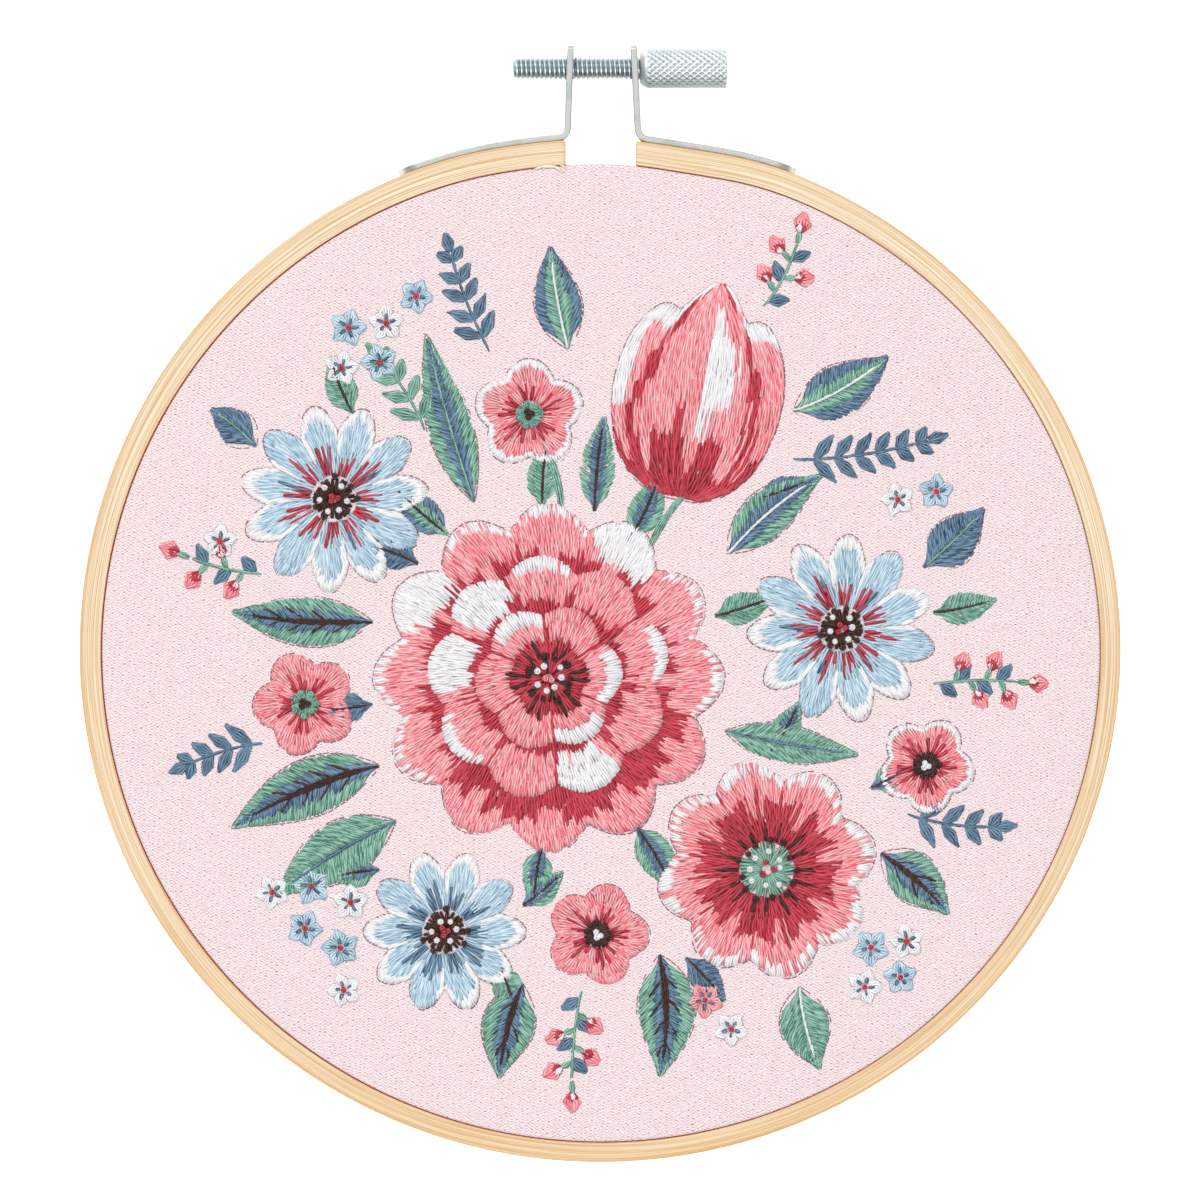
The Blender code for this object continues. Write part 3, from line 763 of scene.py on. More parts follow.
def stretch_the_cloth():
    """Circles whose radius and height follow the cloth's profile, out along the face and back along the
    reverse. The face rises and falls by a few hundredths of a mm, by a sum of slow sine waves. Where the
    cloth turns down beside the outer ring it gets a painted red-brown shade, darkest on the left and fading
    towards the right. In the split no wood stands beside the cloth, so no shade is painted there."""
    corner = np.radians([90, 74, 60, 50, 42, 36, 30, 24, 12, 0])
    flat = np.linspace(2.0, CLOTH_RADIUS - CLOTH_EDGE, 26)
    down = np.linspace(CLOTH_FACE - CLOTH_EDGE, CLOTH_TRIM, 10)[1:]

    def side(depth):
        turn = corner[1:]
        round_x = CLOTH_RADIUS - CLOTH_EDGE + (CLOTH_EDGE - depth) * np.cos(turn)
        round_z = CLOTH_FACE - CLOTH_EDGE + (CLOTH_EDGE - depth) * np.sin(turn)
        radius = [flat, round_x, down * 0 + CLOTH_RADIUS - depth]
        return np.concatenate(radius), np.concatenate([flat * 0 + CLOTH_FACE - depth, round_z, down])

    face, reverse = side(0.0), side(CLOTH_THICKNESS)
    radius, height = (np.concatenate([a, b[::-1]]) for a, b in zip(face, reverse))
    angle = -np.linspace(0, 2 * math.pi, CLOTH_SIDES, endpoint=False)
    x, y = radius[:, None] * np.cos(angle), radius[:, None] * np.sin(angle)
    waves = np.sin(x / 7.3 + y / 11.0) + np.sin(x / 5.1 - y / 6.7)
    uneven = SWELL * waves * (radius < SWELLS_TO)[:, None]
    loops = np.stack([CLOTH_X + x, CLOTH_Y + ROUNDNESS * y, height[:, None] + uneven], axis=-1)
    outside = np.arange(len(height)) < len(face[0])
    below_face = np.clip((CLOTH_FACE - 0.12 - height) / 0.14, 0, 1)
    pinched = below_face * outside * np.clip((height - 2) / 2, 0, 1)
    beside_split = np.clip((np.abs(x - (SPLIT_LEFT + SPLIT_RIGHT) / 2) - 4.4) / 2, 0, 1)
    # Painted shade in the fold beside the outer ring, darkest on the left and fading to the right, and none
    # in the split.
    fold_shade_share = pinched[:, None] * (0.62 - 0.38 * np.cos(angle)) * np.where(y > 0, beside_split, 1)
    settle(loops)
    return skin(loops[None]), {"pinched": np.append(fold_shade_share, [0.0, 0.0])}


# %% [markdown]
# The weave shows as small dark pink dots, where four threads meet and the eye looks through, between
# white threads. They stand in columns 0.82 mm apart, one each 0.44 mm, and every other one is darker,
# in checks with the next column's. Real shirt cotton has threads half as far apart. The photograph
# shows them this coarse, and finer ones would blur away at its size.
# A column is a cosine across the cloth, and its weaker lower half puts fainter dots between, half a
# dot up. The dots in it are a cosine one dot long, plus the product of one two dots long and one two
# columns wide, which makes every other dot darker. A noise shakes it all, because threads are uneven,
# a finer one is the fluff on them, and the whole lies 4.5 degrees off square.
# Slubs, which are thicker lengths of weft, run sideways as duller streaks. In the fold beside the outer
# ring the cloth gets the same painted red-brown shade as the edge of the wood.

# %% Cotton material
WARP_SPACING, WEFT_SPACING, OFF_SQUARE_DEG = 0.82, 0.44, 4.5


def cotton_material():
    """Plain-weave cotton: no gloss at all, and a soft sheen from its loose fibre ends."""
    title = "plain-weave pink cotton"
    material, tree, shader = new_material(title, 0.92, Sheen_Weight=0.15, Sheen_Roughness=0.6)
    place = node(tree, "TexCoord").outputs["Object"]
    shake, strength, fluff = (
        node(tree, "TexNoise", Vector=place, Scale=1 / (size_mm * MM), Detail=detail)
        for size_mm, detail in ((1.1, 3.0), (0.5, 2.0), (0.2, 1.0))
    )
    half = (0.5, 0.5, 0.5)
    centred = node(tree, "VectorMath", {"operation": "SUBTRACT"}, i0=shake.outputs["Color"], i1=half)
    turned = node(tree, "Mapping", Vector=place, Rotation=(0, 0, math.radians(OFF_SQUARE_DEG)))
    spacing = (1 / (WARP_SPACING * MM), 1 / (WEFT_SPACING * MM), 1.0)
    scaled = node(tree, "VectorMath", TIMES, i0=turned, i1=spacing)
    moved = node(tree, "VectorMath", TIMES_PLUS, i0=centred, i1=(1.2, 1.6, 0), i2=scaled)
    threads_on = node(tree, "SeparateXYZ", Vector=moved).outputs
    waves = []
    for axis, share in (("X", 1.0), ("X", 0.5), ("Y", 0.5), ("Y", 1.0)):
        turns = node(tree, "Math", TIMES, i0=threads_on[axis], i1=2 * math.pi * share)
        waves.append(node(tree, "Math", COSINE, i0=turns))
    across, two_across, two_along, along = waves
    column = node(tree, "MapRange", Value=across, i1=-1.0, i2=1.0, i3=-0.62, i4=1.0)
    every_other = node(tree, "Math", TIMES, i0=two_across, i1=two_along)
    dots = node(tree, "Math", TIMES_PLUS, i0=every_other, i1=0.2, i2=along)
    checks = node(tree, "Math", TIMES, i0=column, i1=dots)
    some = node(tree, "MapRange", Value=strength, i1=0.3, i2=0.62, i3=0.4, i4=1.0)
    rough = node(tree, "MapRange", Value=fluff, i1=0.3, i2=0.7, i3=-0.3, i4=0.3)
    weave = node(tree, "Math", TIMES_PLUS, i0=checks, i1=some, i2=rough)
    level = node(tree, "MapRange", Value=weave, i1=-1.35, i2=1.35)
    # The ramp holds the pink warp and near-white weft, and also painted light: its whitest end is a painted
    # highlight on the threads' tops and its darkest end painted shade in the holes between them.
    weave_colours_and_painted_light = {"steps": ((0.2, "#FFFCF9"), (0.45, "#F5E2E2"), (0.62, "#E8C5C9"), (0.88, "#C06878"))}
    thread = node(tree, "ValToRGB", weave_colours_and_painted_light, Fac=level)
    sideways = node(tree, "Mapping", Vector=place, Scale=(1 / (9 * MM), 1 / (0.5 * MM), 1 / (9 * MM)))
    slubs = node(tree, "TexNoise", Vector=sideways, Scale=1.0, Detail=2.0)
    duller = node(tree, "MapRange", Value=slubs, i1=0.3, i2=0.7, i3=0.0, i4=0.3)
    woven = node(tree, "Mix", RGBA, Factor=duller, i6=thread, i7="#E9DAD9")
    pinched = node(tree, "Attribute", {"attribute_name": "pinched"}).outputs["Fac"]
    # Painted shade: the fold beside the outer ring in red brown.
    colour = node(tree, "Mix", RGBA, Factor=pinched, i6=woven, i7="#CC6640")
    relief = node(tree, "Bump", {"invert": True}, Strength=0.5, Distance=0.05 * MM, Height=weave)
    plug(tree, shader, Base_Color=colour, Normal=relief)
    return material


cotton = cotton_material()
cloth_shell, fold_shade_values = stretch_the_cloth()
cloth = make_piece("stretched_cloth", cloth_shell, [cotton], values=fold_shade_values)
hand_over(cloth, "hoop", "pink_cotton", "cloth")

# %% [markdown]
# ## Stranded cotton thread
# Loosely twisted strands of mercerised cotton, a little glossy. Two strands lie side by side in a stitch
# and go once round each other in 1.1 mm, so each shows as a short slanting stroke, light on top and dark
# where the two meet. The stroke is the sine of the distance along the stitch plus two turns round it, on
# the thread's own map. It moves the bump, and it also paints that light and dark into the colour: a painted
# highlight on top of each strand and painted shade where the two meet. Each stitch also has a tone of its
# own, a number on its points, because no two lie alike.

# %% Thread materials
PLY_LENGTH = 1.1
# Each thread's darker and lighter colour. A stitch's own tone lies between them, and the painted strand
# shade and painted highlight push towards each end.
THREADS = {
    "coral": ("#EE4F63", "#FFC8CA"),
    "crimson": ("#8C001A", "#E4485D"),
    "white": ("#EAE1E3", "#FFFEFD"),
    "light_blue": ("#84A9C0", "#DEEFF8"),
    "slate_blue": ("#24405A", "#7C9BB4"),
    "green": ("#307058", "#A3D0BB"),
    "brown": ("#1A0400", "#562B21"),
}
CORAL, CRIMSON, WHITE, LIGHT_BLUE, SLATE, GREEN, BROWN = range(len(THREADS))


def thread_material(name, dark, light):
    """Mercerised cotton: a broad soft gloss and a sheen along the edges of each stitch."""
    title = f"{name.replace('_', ' ')} stranded cotton"
    material, tree, shader = new_material(title, 0.45, Sheen_Weight=0.08, Sheen_Roughness=0.4)
    ply = node(tree, "SeparateXYZ", Vector=node(tree, "UVMap", {"uv_map": "ply"})).outputs
    along = node(tree, "Math", TIMES, i0=ply["X"], i1=2 * math.pi / PLY_LENGTH)
    angle = node(tree, "Math", TIMES_PLUS, i0=ply["Y"], i1=4 * math.pi, i2=along)
    strands = node(tree, "Math", {"operation": "SINE"}, i0=angle)
    # Painted highlight on the strands' tops and painted shade where they meet, added to the stitch's own
    # tone.
    stroke = node(tree, "MapRange", Value=strands, i1=-1.0, i2=0.7, i3=-0.42, i4=0.28)
    tone = node(tree, "Attribute", {"attribute_name": "tone"}).outputs["Fac"]
    own = node(tree, "MapRange", Value=tone, i1=0.0, i2=1.0, i3=0.34, i4=0.84)
    both = node(tree, "Math", {**PLUS, "use_clamp": True}, i0=stroke, i1=own)
    colour = node(tree, "Mix", RGBA, Factor=both, i6=dark, i7=light)
    relief = node(tree, "Bump", Strength=0.7, Distance=0.05 * MM, Height=strands)
    plug(tree, shader, Base_Color=colour, Normal=relief)
    return material


threads = [thread_material(name, *dyes) for name, dyes in THREADS.items()]
print("threads", [t.name for t in threads])

# %% [markdown]
# ## How a stitch is made
# Seen from above a stitch is a short line. From the side it comes up out of the cloth, lies on it and
# goes down again. So each stitch is an ellipse carried along a line of five points, close together at
# its ends, and its height is one less the tenth power of the distance from its middle, which is flat
# on top and steep at the ends. The ends stay inside the cloth. All the stitches of a motif go through
# as one array, and what is sewn is kept for the back of the work.

# %% Stitches as closed tubes
ALONG = np.array([0.0, 0.06, 0.5, 0.94, 1.0])
THREAD_SPACING, THREAD_HALF_WIDTH, THREAD_HALF_HEIGHT, IN_THE_CLOTH = 0.41, 0.29, 0.14, 0.25
UNEVEN_TONES, EVEN_TONES = (1.3, 1.3), (2.2, 2.2)  # the two exponents of a beta distribution
sewn = []


def tubes_of(paths, half_width, half_height, thread, tone):
    """Paths with half sizes for their points, and a thread and a tone for each path."""
    shape = paths.shape[:2]
    return {
        "paths": paths,
        "half_width": np.broadcast_to(half_width, shape),
        "half_height": np.broadcast_to(half_height, shape),
        "thread": np.broadcast_to(thread, shape[0]),
        "tone": np.broadcast_to(tone, shape[0]),
    }


def batch(paths, thread, rng, lift=0.12, half_width=THREAD_HALF_WIDTH):
    """Stitches that share a shape: paths is (stitches, 5, 2) in mm from the cloth's middle, and thread
    is each one's colour. Lift is how high its middle lies above the cloth's face."""
    count = len(paths)
    arch = 1 - (2 * ALONG - 1) ** 10
    rise = lift + IN_THE_CLOTH + rng.uniform(-0.07, 0.07, (count, 1))
    wide = half_width * (0.5 + 0.5 * arch) * rng.uniform(0.82, 1.12, (count, 1))
    high = THREAD_HALF_HEIGHT * (0.6 + 0.4 * arch)
    paths = raised(paths, CLOTH_FACE - IN_THE_CLOTH + arch * rise)
    return tubes_of(paths, wide, high, thread, rng.beta(*UNEVEN_TONES, count))


def twist(stitches, sides=4):
    """Carries an ellipse along each path: its middle, plus (cos, sin) of the angle times the half
    width, level and square to the heading, and the half height, straight up."""
    paths = stitches["paths"]
    heading = np.gradient(paths[..., :2], axis=1)
    heading /= np.maximum(np.linalg.norm(heading, axis=-1, keepdims=True), 1e-9)
    left = raised(left_of(heading), np.zeros(paths.shape[:2]))
    angle = math.pi / 2 + 2 * math.pi * np.arange(sides) / sides
    wide = stitches["half_width"][..., None, None] * np.cos(angle)[:, None] * left[:, :, None]
    high = stitches["half_height"][..., None, None] * np.sin(angle)[:, None] * np.array([0.0, 0.0, 1.0])
    return skin(paths[:, :, None] + wide + high + (CLOTH_X, CLOTH_Y, 0.0))


# %% Sew a motif: all its stitches in one piece
CELL_MARGIN = 0.06  # of a cell on the bake's map


def sew(name, batches, slot, *nodes, sides=4):
    """One piece from batches of stitches. Each stitch has a cell of its own on the bake's map, in a
    square of cells, and its thread's twist runs on the ply map."""
    sewn.extend(batches)
    shell = gather([twist(b, sides) for b in batches])
    tube, ring, side = corners_at(shell).T
    tube = tube.astype(int)
    steps = [np.diff(b["paths"][..., :2], axis=1) for b in batches]
    length = np.concatenate([np.linalg.norm(step, axis=-1).sum(axis=1) for step in steps])
    rings = np.concatenate([np.full(len(b["paths"]), b["paths"].shape[1]) for b in batches])
    along, around = (ring + 0.5) / rings[tube], side / sides
    cells = math.ceil(math.sqrt(len(rings)))
    corner = np.column_stack([tube % cells, tube // cells])
    cell = (corner + CELL_MARGIN + (1 - 2 * CELL_MARGIN) * np.column_stack([along, around])) / cells
    maps = {"OFBake": cell, "ply": np.column_stack([along * length[tube], around])}
    used, slot_of = np.unique(np.concatenate([b["thread"] for b in batches]), return_inverse=True)
    face_tube = np.concatenate([shell["quads_at"][:, 0, 0], shell["fans_at"][:, 0, 0]]).astype(int)
    tone = np.concatenate([b["tone"] for b in batches])[shell["tube_of"]]
    dyes = [threads[i] for i in used]
    piece = make_piece(name, shell, dyes, maps, slot_of[face_tube], {"tone": tone})
    print(len(rings), "stitches in", end=" ")
    hand_over(piece, "hoop", slot, *nodes)


# %% [markdown]
# ## Long-and-short stitch
# Petals are filled in rows from the base to the edge. Each row's stitches start and stop unevenly and
# run into the row before, so colours meet in a jagged line. A petal is a function of two numbers: s
# goes from -1 to 1 across it and t from 0 at its base to 1 at its edge. The same filling then works
# for petals in a ring, for a tulip and for tiny leaves, and a paint rule says which thread is used
# where.


# %% Fill a petal in rows
def fill(point, rows, paint, rng, lift=0.12, ragged=0.07):
    """Stitches along t between each two of rows, as many side by side as the petal's width there
    holds. Their ends move by up to ragged, and paint(s, t) gives each one's thread."""
    batches = []
    for row, (start, end) in enumerate(zip(rows[:-1], rows[1:])):
        chord = point(np.linspace(-1, 1, 9), np.full(9, (start + end) / 2))
        count = max(int(lengths_along(chord)[-1] / THREAD_SPACING), 3)
        s = (np.arange(count) + 0.5) / count * 2 - 1 + rng.uniform(-0.25, 0.25, count) / count
        back = ragged * rng.uniform(0.3, 1.9, (count, 1)) * (row > 0)
        reach = (-0.3, 0.12) if end == rows[-1] else (0.0, 1.5)
        on = ragged * rng.uniform(*reach, (count, 1))
        t = start - back + (end + on - start + back) * ALONG
        thread = paint(s + rng.normal(0, 0.03, count), (start + end) / 2 + (on[:, 0] - back[:, 0]) / 2)
        drift = rng.normal(0, 0.5 / count, (count, 1)) * (2 * ALONG - 1)
        batches.append(batch(point(np.clip(s[:, None] + drift, -1, 1), t), thread, rng, lift + 0.03 * row))
    return batches


def streaks(point, count, reach, thread, rng, lift=0.24, spread=0.75):
    """Single stitches laid over a petal, from its base to a random share of its length."""
    s = np.linspace(-spread, spread, count) + rng.normal(0, 0.06, count)
    end = rng.uniform(reach[0], reach[1], (count, 1)) * (1 - 0.25 * np.abs(s[:, None]))
    t = 0.02 + (end - 0.02) * ALONG
    return batch(point(np.broadcast_to(s[:, None] * 1.0, t.shape) * (0.7 + 0.3 * t), t), thread, rng, lift)


# %% [markdown]
# A French knot is thread wound round the needle and pulled down, so it is a small coil. It is made
# with the same ellipse, carried along one and a half turns of a flat rising spiral.


# %% French knots
def knots(centres, thread, rng, radius=0.34, lift=0.3):
    """Coils: a circle's (cos, sin) times a radius that closes as the coil rises by a parabola."""
    centres = np.atleast_2d(centres).astype(float)
    t = np.linspace(0, 1, 10)
    angle = 2 * math.pi * (1.6 * t + rng.uniform(0, 1, (len(centres), 1)))
    reach = radius * (1 - 0.55 * t**2) * rng.uniform(0.85, 1.15, (len(centres), 1))
    plan = centres[:, None] + reach[..., None] * circle(angle)
    height = CLOTH_FACE + lift - 0.12 + 0.5 * t * (1.3 - 0.6 * t) + 0 * reach
    return tubes_of(raised(plan, height), 0.24, 0.22, thread, rng.beta(*EVEN_TONES, len(centres)))


def knot_ring(centre, radius, count, thread, lift, rng):
    """Knots at even steps round a circle, each moved a little."""
    angle = 2 * math.pi * (np.arange(count) + rng.uniform(-0.2, 0.2, count)) / max(count, 1)
    reach = radius * rng.uniform(0.8, 1.15, (count, 1))
    return knots(np.array(centre) + circle(angle) * reach, thread, rng, lift=lift)


print("one stitch is", (len(ALONG) - 1) * 4 * 2 + 8, "triangles, one knot", 9 * 4 * 2 + 8)

# %% [markdown]
# ## Splinters
# A saw leaves a few fibres standing at the cut. On the left end of the outer ring two long ones have
# come away from the inner corner and lie on the cloth, and two short ones stick out beside them. A
# splinter is the same kind of closed tube as a stitch, thick in its middle and pointed at both ends.


# %% Splinters at the left cut
def torn_bamboo():
    """A fibre torn from inside the wall: paler than the sanded wood, and hardly glossy."""
    material, tree, shader = new_material("torn bamboo fibre", 0.7)
    patch = node(tree, "TexNoise", Vector=node(tree, "TexCoord").outputs["Object"], Scale=1 / (0.5 * MM))
    pale = node(tree, "ValToRGB", {"steps": ((0.4, "#F3DDBB"), (0.6, "#FFF6E4"))}, Fac=patch)
    plug(tree, shader, Base_Color=pale)
    return material


def raise_the_splinters():
    """Eight points along each curve through three given ones, a parabola, and a width that is the
    root of the sine of pi times the share of the length."""
    ends = np.array(  # x and y from the cloth's middle: start, bend, tip
        [
            [(-8.9, 74.65), (-7.3, 75.6), (-5.7, 73.95)],
            [(-10.6, 74.35), (-9.0, 75.1), (-7.5, 75.15)],
            [(-6.3, 75.2), (-5.6, 75.1), (-5.15, 74.45)],
            [(-5.7, 75.5), (-5.3, 75.4), (-5.0, 75.0)],
        ]
    )
    t = np.linspace(0, 1, 8)[:, None]
    curve = (1 - t) ** 2 * ends[:, :1] + 2 * t * (1 - t) * ends[:, 1:2] + t**2 * ends[:, 2:]
    t = t[:, 0]
    height = np.broadcast_to(CLOTH_FACE + 0.14 + 0.25 * t * (1 - t), curve.shape[:2])
    thick = np.array([[0.24], [0.18], [0.14], [0.08]]) * np.sqrt(np.sin(math.pi * (0.03 + 0.94 * t)))
    shell = twist(tubes_of(raised(curve, height), thick, thick * 0.6, 0, 0))
    settle(shell["points"])
    return make_piece("splinters_at_the_cut", shell, [torn_bamboo()])


hand_over(raise_the_splinters(), "hoop", "bamboo")

# %% [markdown]
# ## Flowers
# The design is an ordinary mix of garden flowers, laid out for this hoop: a dahlia, a cosmos, three
# daisies, four primroses and a tulip. Each fills the outline that its solid in the part has. A petal
# of a round flower lies between two radii and two angles, and its edge follows the scalloped outline.

# %% The layout, in mm from the cloth's middle
FLOWERS = {  # x, y, radius, petals, notch, turn
    "dahlia": (-8, -4, 27, 12, 0.14, 0),
    "cosmos": (25.5, -33.5, 17, 8, 0.18, 12),
    "daisy_left": (-41, 23.5, 14.5, 11, 0.30, 5),
    "daisy_right": (37, 3.5, 14.5, 11, 0.30, 20),
    "daisy_low": (-24, -43, 12.5, 10, 0.30, 0),
    "primrose_left": (-45.5, -8, 8, 5, 0.24, 40),
    "primrose_top": (-11, 36.5, 8.5, 5, 0.24, 18),
    "primrose_low": (-0.5, -43.5, 8, 5, 0.24, 0),
    "primrose_right": (50, -17.5, 7.5, 5, 0.24, 60),
}


def petals_of(x, y, radius, petals, notch, turn_deg, inner, share=1.0):
    """Each petal as a function of s and t. The angle is the petal's own plus s times half a petal,
    times share, and the radius goes from inner to the scalloped edge: radius less the notch between
    petals."""

    def petal(number):
        own = math.radians(turn_deg) + 2 * math.pi * number / petals

        def point(s, t):
            angle = s * math.pi / petals * share
            edge = radius * (1 - notch * (1 - np.abs(np.cos(petals * angle / 2))))
            reach = inner + (edge - inner) * t
            return (x, y) + reach[..., None] * circle(own + angle)

        return point

    return [petal(number) for number in range(petals)]


print("flowers", len(FLOWERS), "with", sum(f[3] for f in FLOWERS.values()), "outer petals")

# %% [markdown]
# The dahlia has three rings of petals, each laid over the one outside it. Crimson at a petal's base
# and down one side is the shade of its neighbours, and there is more of it low on the flower. White on
# some lips and in a few broad patches is the light. Each colour is a few broad areas, as an
# embroiderer would thread the needle for them.


# %% Dahlia
def sew_the_dahlia():
    rng = np.random.default_rng(11)
    x, y, radius, petals, notch, turn = FLOWERS["dahlia"]
    stitches = []
    for number, point in enumerate(petals_of(x, y, radius, petals, notch, turn, 13.0)):

        def outer(s, t, shaded=number in (8, 9, 10, 11), lit=number in (2, 5)):
            shade = (t < (0.72 if shaded else 0.5) - 0.14 * np.cos(3 * s)) | (s > 0.74 + 0.3 * t)
            patch = lit & (s < 0.5 - 0.5 * np.cos(2.6 * t)) & (t > 0.5)
            lip = (t > 0.9) & (s < 0.75) & (not shaded)
            return np.select([shade, patch | lip], [CRIMSON, WHITE], CORAL)

        stitches += fill(point, (0.2, 0.54, 0.74, 0.9, 1.0), outer, rng, 0.1)
    for number, point in enumerate(petals_of(x, y, 19.0, 9, 0.13, 15.0, 7.0)):

        def middle(s, t, lit=number in (3, 4, 7), lip=number in (0, 2, 5)):
            shade = (t < 0.46 - 0.12 * np.cos(3 * s)) | (s > 0.76 + 0.24 * t)
            light = (lit & (t > 0.52) & (s < 0.4 + 0.3 * t)) | (lip & (t > 0.83 + 0.1 * s**2) & (s < 0.8))
            return np.select([shade, light], [CRIMSON, WHITE], CORAL)

        stitches += fill(point, (0.1, 0.46, 0.68, 0.84, 1.0), middle, rng, 0.36)
    for number, point in enumerate(petals_of(x, y, 11.6, 6, 0.16, 6.0, 2.6)):

        def inner(s, t, white=number in (0, 2, 5)):
            shade = (t < 0.42 - 0.1 * np.cos(4 * s)) | (s > 0.76 + 0.2 * t)
            return np.select([shade, white & (t > 0.62) & (s < 0.6)], [CRIMSON, WHITE], CORAL)

        stitches += fill(point, (0.0, 0.44, 0.74, 1.0), inner, rng, 0.62)
        stitches.append(streaks(point, 2, (0.4, 0.66), BROWN, rng, 0.78, 0.4))
    for point in petals_of(x, y, 4.4, 6, 0.1, 20.0, 0.6):
        stitches += fill(point, (0.0, 1.0), lambda s, t: np.where(s > 0.3, BROWN, CRIMSON), rng, 0.8)
    for ring in ((3.5, 10, BROWN, 0.9), (2.1, 7, WHITE, 0.95), (0.5, 2, CORAL, 1.0)):
        stitches.append(knot_ring((x, y), *ring, rng))
    sew("dahlia_stitches", stitches, "coral_thread", "dahlia")


sew_the_dahlia()

# %% [markdown]
# The other round flowers are made alike: one ring of petals, single stitches laid over each petal, a
# small ring of petals in the middle, and knots. A cosmos has broad coral petals with a white edge and
# crimson at the base. Daisies have narrow light-blue petals with a white edge and uneven streaks of
# crimson and slate at the base. Primroses have five broad coral petals round a green or brown eye.


# %% One round flower
def sew_a_round_flower(name, seed, slot, inner, rows, paint, laid_over, eye, knot_rings, share=1.0):
    """paint gives a petal's rule from its number. Each of laid_over is every how many petals, how many
    stitches, their reach, thread, lift and spread. eye is the middle's radius, petals, inner radius,
    thread and lift, and each of knot_rings a radius, a count, a thread and a lift."""
    rng = np.random.default_rng(seed)
    x, y, *shape = FLOWERS[name]
    stitches = []
    for number, point in enumerate(petals_of(x, y, *shape, inner, share)):
        stitches += fill(point, rows, paint(number), rng)
        for every, count, reach, thread, lift, spread in laid_over:
            if number % every == every - 1:
                stitches.append(streaks(point, count, reach, thread, rng, lift, spread))
    radius, petals, eye_inner, eye_thread, eye_lift = eye
    for point in petals_of(x, y, radius, petals, 0.1, 0.0, eye_inner):
        stitches += fill(point, (0.0, 1.0), lambda s, t: np.full(s.shape, eye_thread), rng, eye_lift)
    for ring in knot_rings:
        stitches.append(knot_ring((x, y), *ring, rng))
    sew(f"{name}_stitches", stitches, slot, name)


# %% Cosmos
def cosmos_rule(s, t):
    shade = (t < 0.5 - 0.12 * np.cos(4 * s)) | (s > 0.84 + 0.15 * t)
    return np.select([shade, (t > 0.88) & (s < 0.8)], [CRIMSON, WHITE], CORAL)


sew_a_round_flower(
    "cosmos", seed=12, slot="crimson_thread", inner=4.0, rows=(0.0, 0.34, 0.62, 0.87, 1.0),
    paint=lambda number: cosmos_rule,
    laid_over=[(1, 4, (0.62, 0.84), CRIMSON, 0.28, 0.75), (1, 2, (0.3, 0.5), BROWN, 0.34, 0.75)],
    eye=(4.6, 7, 0.7, GREEN, 0.4),
    knot_rings=[(4.3, 13, BROWN, 0.42), (2.6, 8, WHITE, 0.5), (1.0, 3, CRIMSON, 0.55)],
)


# %% Daisies
def daisy_rule(number):
    lip = number % 3 != 1
    return lambda s, t: np.where((lip & (t > 0.86)) | ((s > 0.74) & (t > 0.4)), WHITE, LIGHT_BLUE)


for name, seed, thread in (
    ("daisy_left", 21, CRIMSON),
    ("daisy_right", 22, CRIMSON),
    ("daisy_low", 23, SLATE),
):
    sew_a_round_flower(
        name, seed, "light_blue_thread", inner=3.2, share=0.95, rows=(0.0, 0.46, 0.86, 1.0),
        paint=daisy_rule,
        laid_over=[(1, 3, (0.3, 0.62), thread, 0.28, 0.6), (2, 1, (0.55, 0.72), SLATE, 0.3, 0.5)],
        eye=(3.4, 6, 0.5, BROWN, 0.36),
        knot_rings=[(3.1, 9, BROWN, 0.4), (2.0, 6, WHITE, 0.46), (0.6, 3, CRIMSON, 0.5)],
    )

# %% Primroses
for name, seed, eye, edge in (
    ("primrose_left", 31, GREEN, CORAL),
    ("primrose_top", 32, GREEN, WHITE),
    ("primrose_low", 33, BROWN, CORAL),
    ("primrose_right", 34, BROWN, WHITE),
):
    sew_a_round_flower(
        name, seed, "coral_thread", inner=1.9, rows=(0.0, 0.52, 0.86, 1.0),
        paint=lambda number: lambda s, t: np.where(t > 0.85, edge, CORAL),
        laid_over=[(1, 4, (0.35, 0.7), CRIMSON, 0.28, 0.75)],
        eye=(2.3, 5, 0.4, eye, 0.34),
        knot_rings=[(1.7, 7, eye, 0.4), (0.5, 3, WHITE if eye == BROWN else BROWN, 0.45)],
    )

# %% [markdown]
# The tulip is seen from the side. Its stitches run from the stem to the rim like lines of longitude:
# at a height, s times the egg's half width there is how far across a stitch lies, and the rim's
# height for each s comes from the part's outline with its three tips.

# %% Tulip
TULIP_X, TULIP_Y, TULIP_TURN = 15.0, 40.0, -12.0
TULIP_HALF_WIDTH, TULIP_HALF_HEIGHT, TULIP_CUT, TULIP_FOOT = 13.0, 17.0, 0.26, -0.985


def tulip_point():
    """The tulip as a function of s and t: t goes up from the stem to the rim, s across the egg."""
    turn = math.radians(TULIP_TURN)
    lift = np.radians(np.linspace(-90, 90, 181))
    egg_up, egg_wide = np.sin(lift), np.cos(lift) * (1 - 0.18 * np.sin(lift) ** 3)
    rim = np.radians(np.linspace(35.5, 90, 60))
    dip = TULIP_CUT * np.sin(rim) ** 2 * (1 - np.abs(np.cos(3.3 * (rim - math.pi / 2))))
    rim_up = np.sin(rim) - dip
    rim_wide = np.cos(rim) * (1 - 0.18 * np.sin(rim) ** 3)
    rim_across = rim_wide / np.maximum(np.interp(rim_up, egg_up, egg_wide), 0.02)
    rim_across[-1] = 0.0

    def point(s, t):
        top = np.interp(np.abs(s), rim_across[::-1], rim_up[::-1])
        up = TULIP_FOOT + t * (top - TULIP_FOOT)
        across = s * np.interp(up, egg_up, egg_wide)
        x, y = across * TULIP_HALF_WIDTH, up * TULIP_HALF_HEIGHT
        right = TULIP_X + x * math.cos(turn) - y * math.sin(turn)
        return np.stack([right, TULIP_Y + x * math.sin(turn) + y * math.cos(turn)], axis=-1)

    return point


